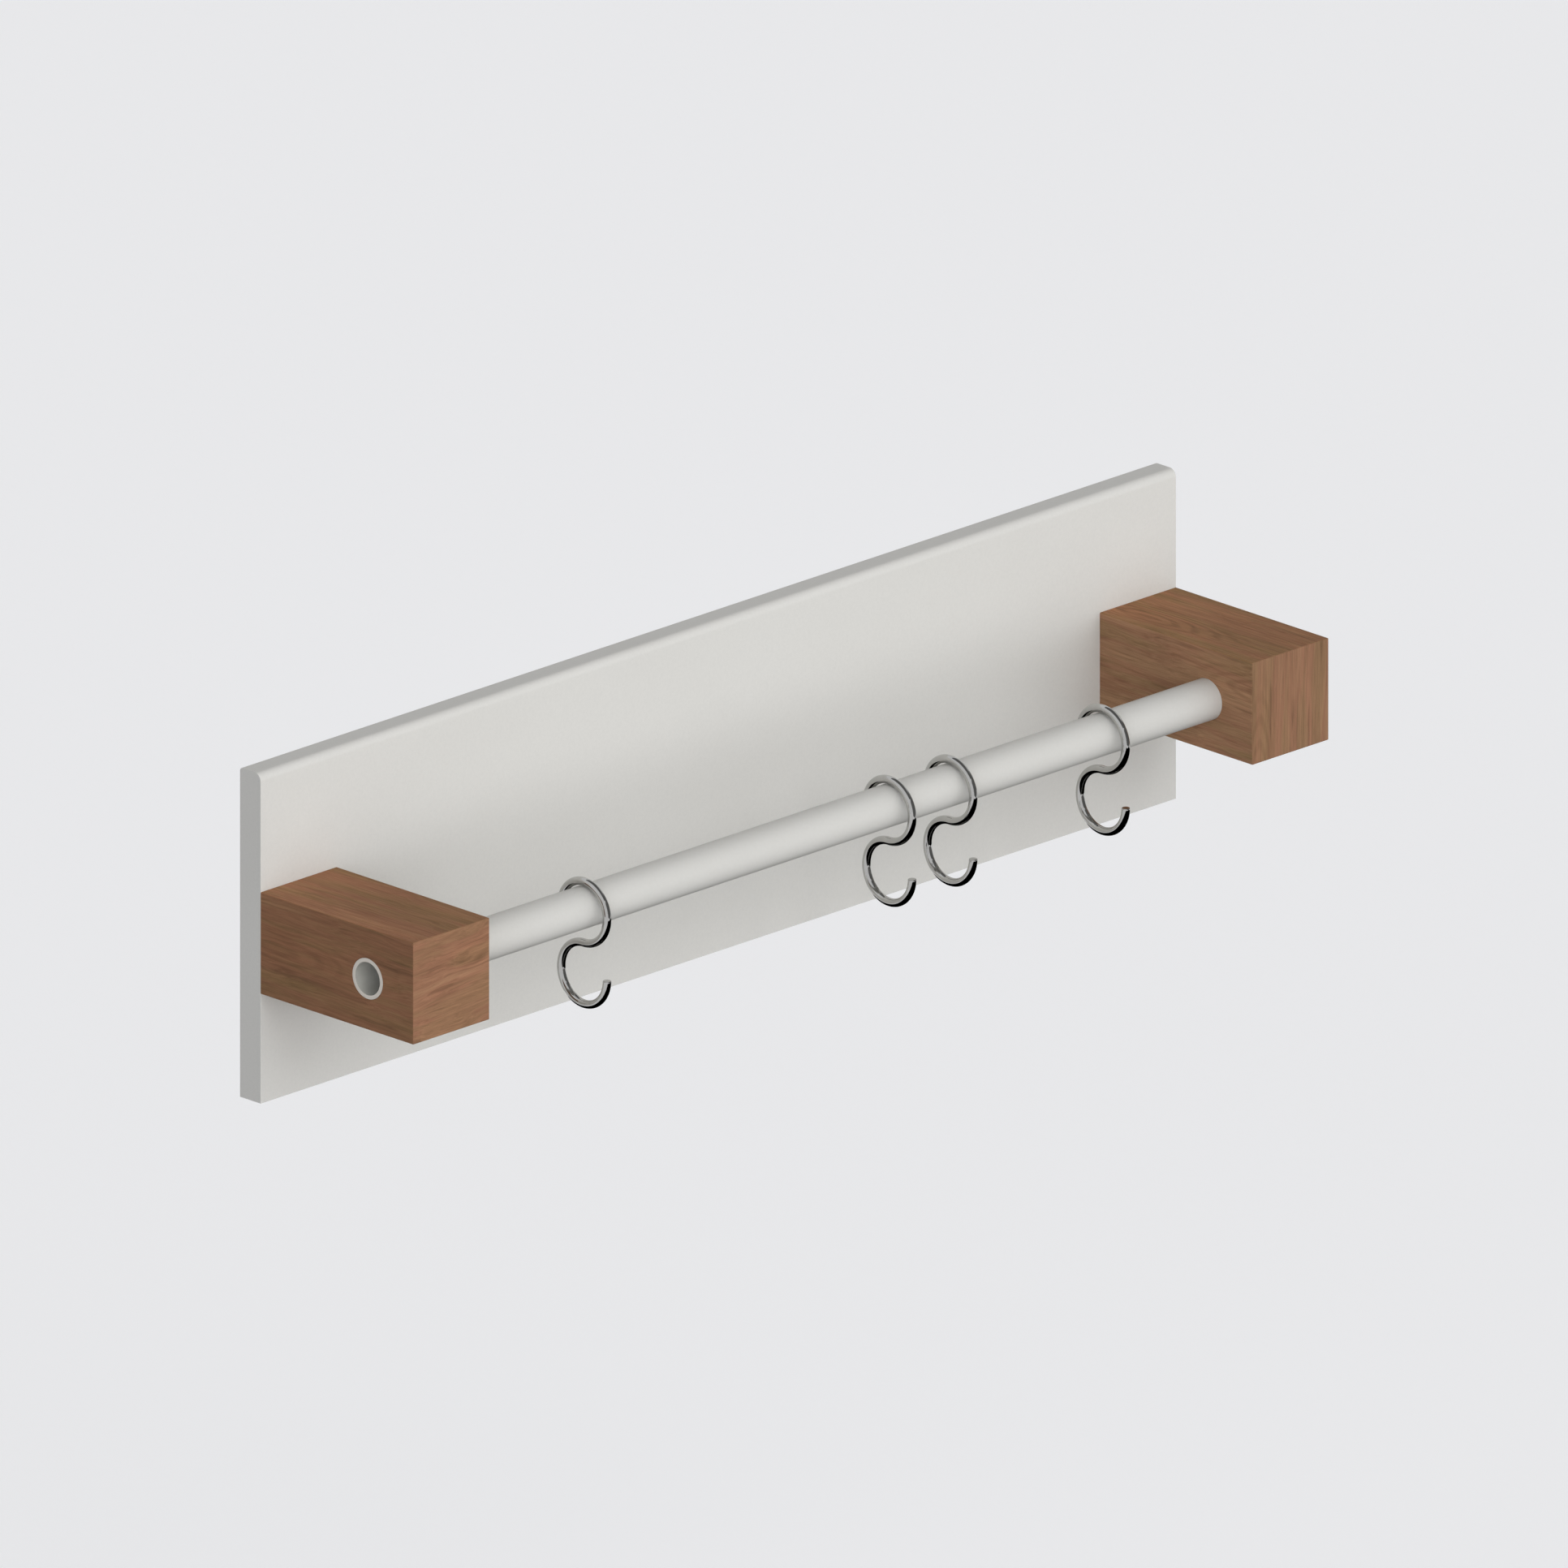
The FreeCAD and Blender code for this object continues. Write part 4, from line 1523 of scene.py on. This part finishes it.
@dataclass(frozen=True)
class Studio:
    """The floor, the light and the camera.

    Attributes:
        backdrop: the linear colour that the camera and the shiny pieces see behind the object.
        floor_tone: how much light the floor throws back.
        floor_glow: what they see on top of that, which makes up the backdrop's colour.
        floor_level: the floor's height, well below the hanging object.
        floor_size: the length of the floor's sides.
        ambient: the even light from all round.
        azimuth: the camera's direction in degrees, from -Y towards +X.
        elevation: the camera's height above the horizon in degrees.
        view_width: the width of the camera's parallel view.
        target: the point in the middle of the picture.
        camera_distance: how far the camera stands from it.
        lamps: the lamps.
        cards: the dark cards that the shiny pieces reflect beside the background.
    """

    backdrop: Colour = (0.7991, 0.8070, 0.8228)
    floor_tone: float = 0.40
    floor_glow: Colour = (0.5780, 0.5810, 0.5955)
    floor_level: float = -0.60
    floor_size: float = 60.0
    ambient: float = 0.20
    azimuth: float = -45.0
    elevation: float = math.degrees(math.asin(1 / 3))
    view_width: float = 0.7267
    target: Point = (-0.0070, -0.0637, 0.0155)
    camera_distance: float = 3.0
    lamps: tuple[SoftLamp, ...] = (
        SoftLamp("high_left_lamp", -30.0, 30.0, 0.56, 40.0),
        SoftLamp("high_right_lamp", 30.0, 30.0, 0.43, 40.0),
        SoftLamp("high_front_lamp", 0.0, 36.0, 0.60, 40.0),
        SoftLamp("low_left_lamp", -30.0, -5.0, 0.51, 40.0),
        SoftLamp("low_right_lamp", 30.0, -5.0, 0.37, 40.0),
        SoftLamp("left_lamp", -60.0, 10.0, 0.62, 40.0, (0.945, 0.98, 1.06)),
        SoftLamp("right_lamp", 60.0, 10.0, 0.50, 40.0),
        SoftLamp("back_lamp", 180.0, 0.0, 1.60, 20.0),
    )
    cards: tuple[Card, ...] = (
        Card("low_dark_card", (0.5, -0.5, -0.58), (2.4, 2.4), (0.0, 0.0, 0.0), 0.0),
        Card("right_dark_card", (1.35, -1.73, 0.56), (5.0, 2.26), (90.0, 0.0, 38.0), 0.14),
        Card("high_dark_card", (0.8, -0.7, 1.7), (2.6, 3.2), (0.0, 0.0, 0.0), 0.14),
    )

    def build(self) -> None:
        """Sets up the floor, the world, the lamps, the cards and the camera."""
        self.lay_floor()
        self.light_world()
        for lamp in self.lamps:
            lamp.hang()
        for card in self.cards:
            card.stand()
        self.place_camera()
        LOG.info("studio: %d lamps and %d cards", len(self.lamps), len(self.cards))

    def lay_floor(self) -> None:
        """Lays the plain pale floor, which can be seen through from below."""
        bpy.ops.mesh.primitive_plane_add(size=self.floor_size, location=(0.0, 0.0, self.floor_level))
        floor = bpy.context.object
        floor.name = "floor"
        floor.visible_shadow = False
        material = bpy.data.materials.new("pale_floor")
        nodes = Nodes(material)
        matt = nodes.add("ShaderNodeBsdfDiffuse", {"Color": (self.floor_tone,) * 3 + (1.0,)})
        inputs = {"Color": (*self.floor_glow, 1.0), "Strength": nodes.seen()}
        glow = nodes.add("ShaderNodeEmission", inputs)
        both = nodes.add("ShaderNodeAddShader", {0: matt.outputs["BSDF"], 1: glow.outputs["Emission"]})
        side = nodes.add("ShaderNodeNewGeometry").outputs["Backfacing"]
        clear = nodes.add("ShaderNodeBsdfTransparent").outputs["BSDF"]
        choose = nodes.add("ShaderNodeMixShader", {"Fac": side, 1: both.outputs["Shader"], 2: clear})
        nodes.close(choose.outputs["Shader"])
        floor.data.materials.append(material)

    def light_world(self) -> None:
        """Sets the even light, and the backdrop that the camera and the shiny pieces see."""
        world = bpy.data.worlds.new("studio")
        nodes = Nodes(world, "ShaderNodeOutputWorld")
        even, pale = (
            nodes.add("ShaderNodeBackground", {"Color": (*colour, 1.0), "Strength": strength})
            for colour, strength in (((1.0, 1.0, 1.0), self.ambient), (self.backdrop, 1.0))
        )
        inputs = {"Fac": nodes.seen(), 1: even.outputs["Background"], 2: pale.outputs["Background"]}
        nodes.close(nodes.add("ShaderNodeMixShader", inputs).outputs["Shader"])
        bpy.context.scene.world = world

    def place_camera(self) -> None:
        """Places the camera at the picture's viewing angle."""
        rise, bearing = math.radians(self.elevation), math.radians(self.azimuth)
        level = math.cos(rise)
        back = Vector((math.sin(bearing) * level, -math.cos(bearing) * level, math.sin(rise)))
        bpy.ops.object.camera_add(location=Vector(self.target) + self.camera_distance * back)
        camera = bpy.context.object
        camera.name = "camera"
        camera.rotation_euler = back.to_track_quat("Z", "Y").to_euler()
        camera.data.type = "ORTHO"
        camera.data.ortho_scale = self.view_width
        bpy.context.scene.camera = camera
        bpy.context.scene.view_settings.view_transform = "Standard"


BOARD_PAINT = Paint(
    "board_paint",
    light=(0.694, 0.684, 0.653),
    dark=(0.671, 0.662, 0.632),
    stipple=0.0012,
    relief=1.5e-5,
    gloss=(0.42, 0.55),
)
RAIL_PAINT = Paint(
    "rail_paint",
    light=(0.650, 0.642, 0.613),
    dark=(0.635, 0.627, 0.598),
    stipple=0.0016,
    relief=8e-6,
    gloss=(0.36, 0.46),
)
# A lighter, warmer copy of the tube's paint for its cut ends: painted light on the end rings.
RAIL_END_PAINTED_LIGHT = Paint(
    "rail_end_painted_light",
    light=(0.745, 0.694, 0.622),
    dark=(0.730, 0.680, 0.608),
    stipple=0.0016,
    relief=8e-6,
    gloss=(0.36, 0.46),
)
# A darker copy of the tube's paint for its inside: painted shade in the bore.
RAIL_BORE_PAINTED_SHADE = Paint(
    "rail_bore_painted_shade",
    light=(0.520, 0.512, 0.470),
    dark=(0.500, 0.492, 0.452),
    stipple=0.0016,
    relief=8e-6,
    gloss=(0.46, 0.56),
)
HOOK_CHROME = Chrome("hook_chrome", (0.53, 0.525, 0.51), (0.48, 0.475, 0.46), (0.03, 0.08))
ZINC = ZincPlate("plated_steel", (0.56, 0.58, 0.60), (0.62, 0.60, 0.54))
# Each face of a block gets its own copy of the wood. Its factors are painted light and shade: they make
# that face lighter, darker, warmer or cooler than the others for how the light falls on it, darkest on
# the left block's outer side.
LEFT_TOP = Walnut(
    "left_block_top_wood",
    Grain.ALONG_DEPTH,
    heart=(-0.262, -0.040, 0.040),
    plank=7.0,
    vein=0.11,
    depth=1.5,
    painted_light=(1.022, 0.971, 0.923),
)
LEFT_SIDE = Walnut(
    "left_block_side_wood",
    Grain.ALONG_DEPTH,
    heart=(-0.302, -0.025, 0.000),
    plank=13.0,
    flame=0.07,
    depth=1.3,
    painted_light=(0.825, 0.835, 0.840),
)
LEFT_FRONT = Walnut(
    "left_block_front_wood",
    Grain.RISING,
    heart=(-0.245, -0.114, 0.010),
    plank=3.0,
    flame=0.07,
    vein=0.22,
    depth=1.3,
    painted_light=(0.914, 0.938, 1.012),
    sway=0.009,
    figure=(0.010, 0.040),
    olive=(0.323, 0.189, 0.103),
)
RIGHT_TOP = Walnut(
    "right_block_top_wood",
    Grain.ALONG_DEPTH,
    heart=(0.2645, -0.034, 0.023),
    plank=9.0,
    flame=0.09,
    vein=0.15,
    depth=1.7,
    painted_light=(1.019, 0.992, 0.893),
)
RIGHT_SIDE = Walnut(
    "right_block_side_wood",
    Grain.ALONG_DEPTH,
    heart=(0.250, -0.130, 0.012),
    plank=12.0,
    flame=0.07,
    depth=1.5,
    painted_light=(0.957, 1.025, 1.055),
)
RIGHT_FRONT = Walnut(
    "right_block_front_wood",
    Grain.UPRIGHT,
    heart=(0.255, -0.114, -0.040),
    plank=1.0,
    flame=0.06,
    depth=1.4,
    painted_light=(0.863, 0.921, 0.997),
    sway=0.002,
    figure=(0.012, 0.060),
    olive=(0.315, 0.187, 0.102),
)


def main() -> None:
    """Builds every piece of the rail and the studio round it."""
    logging.basicConfig(level=logging.INFO, format="%(message)s")
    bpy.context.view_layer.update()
    BackBoard(BOARD_PAINT).build()
    EndBlock("left", LEFT_TOP, LEFT_SIDE, LEFT_FRONT).build()
    EndBlock("right", RIGHT_TOP, RIGHT_SIDE, RIGHT_FRONT).build()
    RailTube(RAIL_PAINT, RAIL_END_PAINTED_LIGHT, RAIL_BORE_PAINTED_SHADE).build()
    HookSet(HOOK_CHROME).build()
    zinc = ZINC.material()
    for side in SIDES:
        HangerPlate(side, zinc).build()
    ScrewSet(zinc).build()
    Studio().build()


if __name__ == "__main__":
    main()
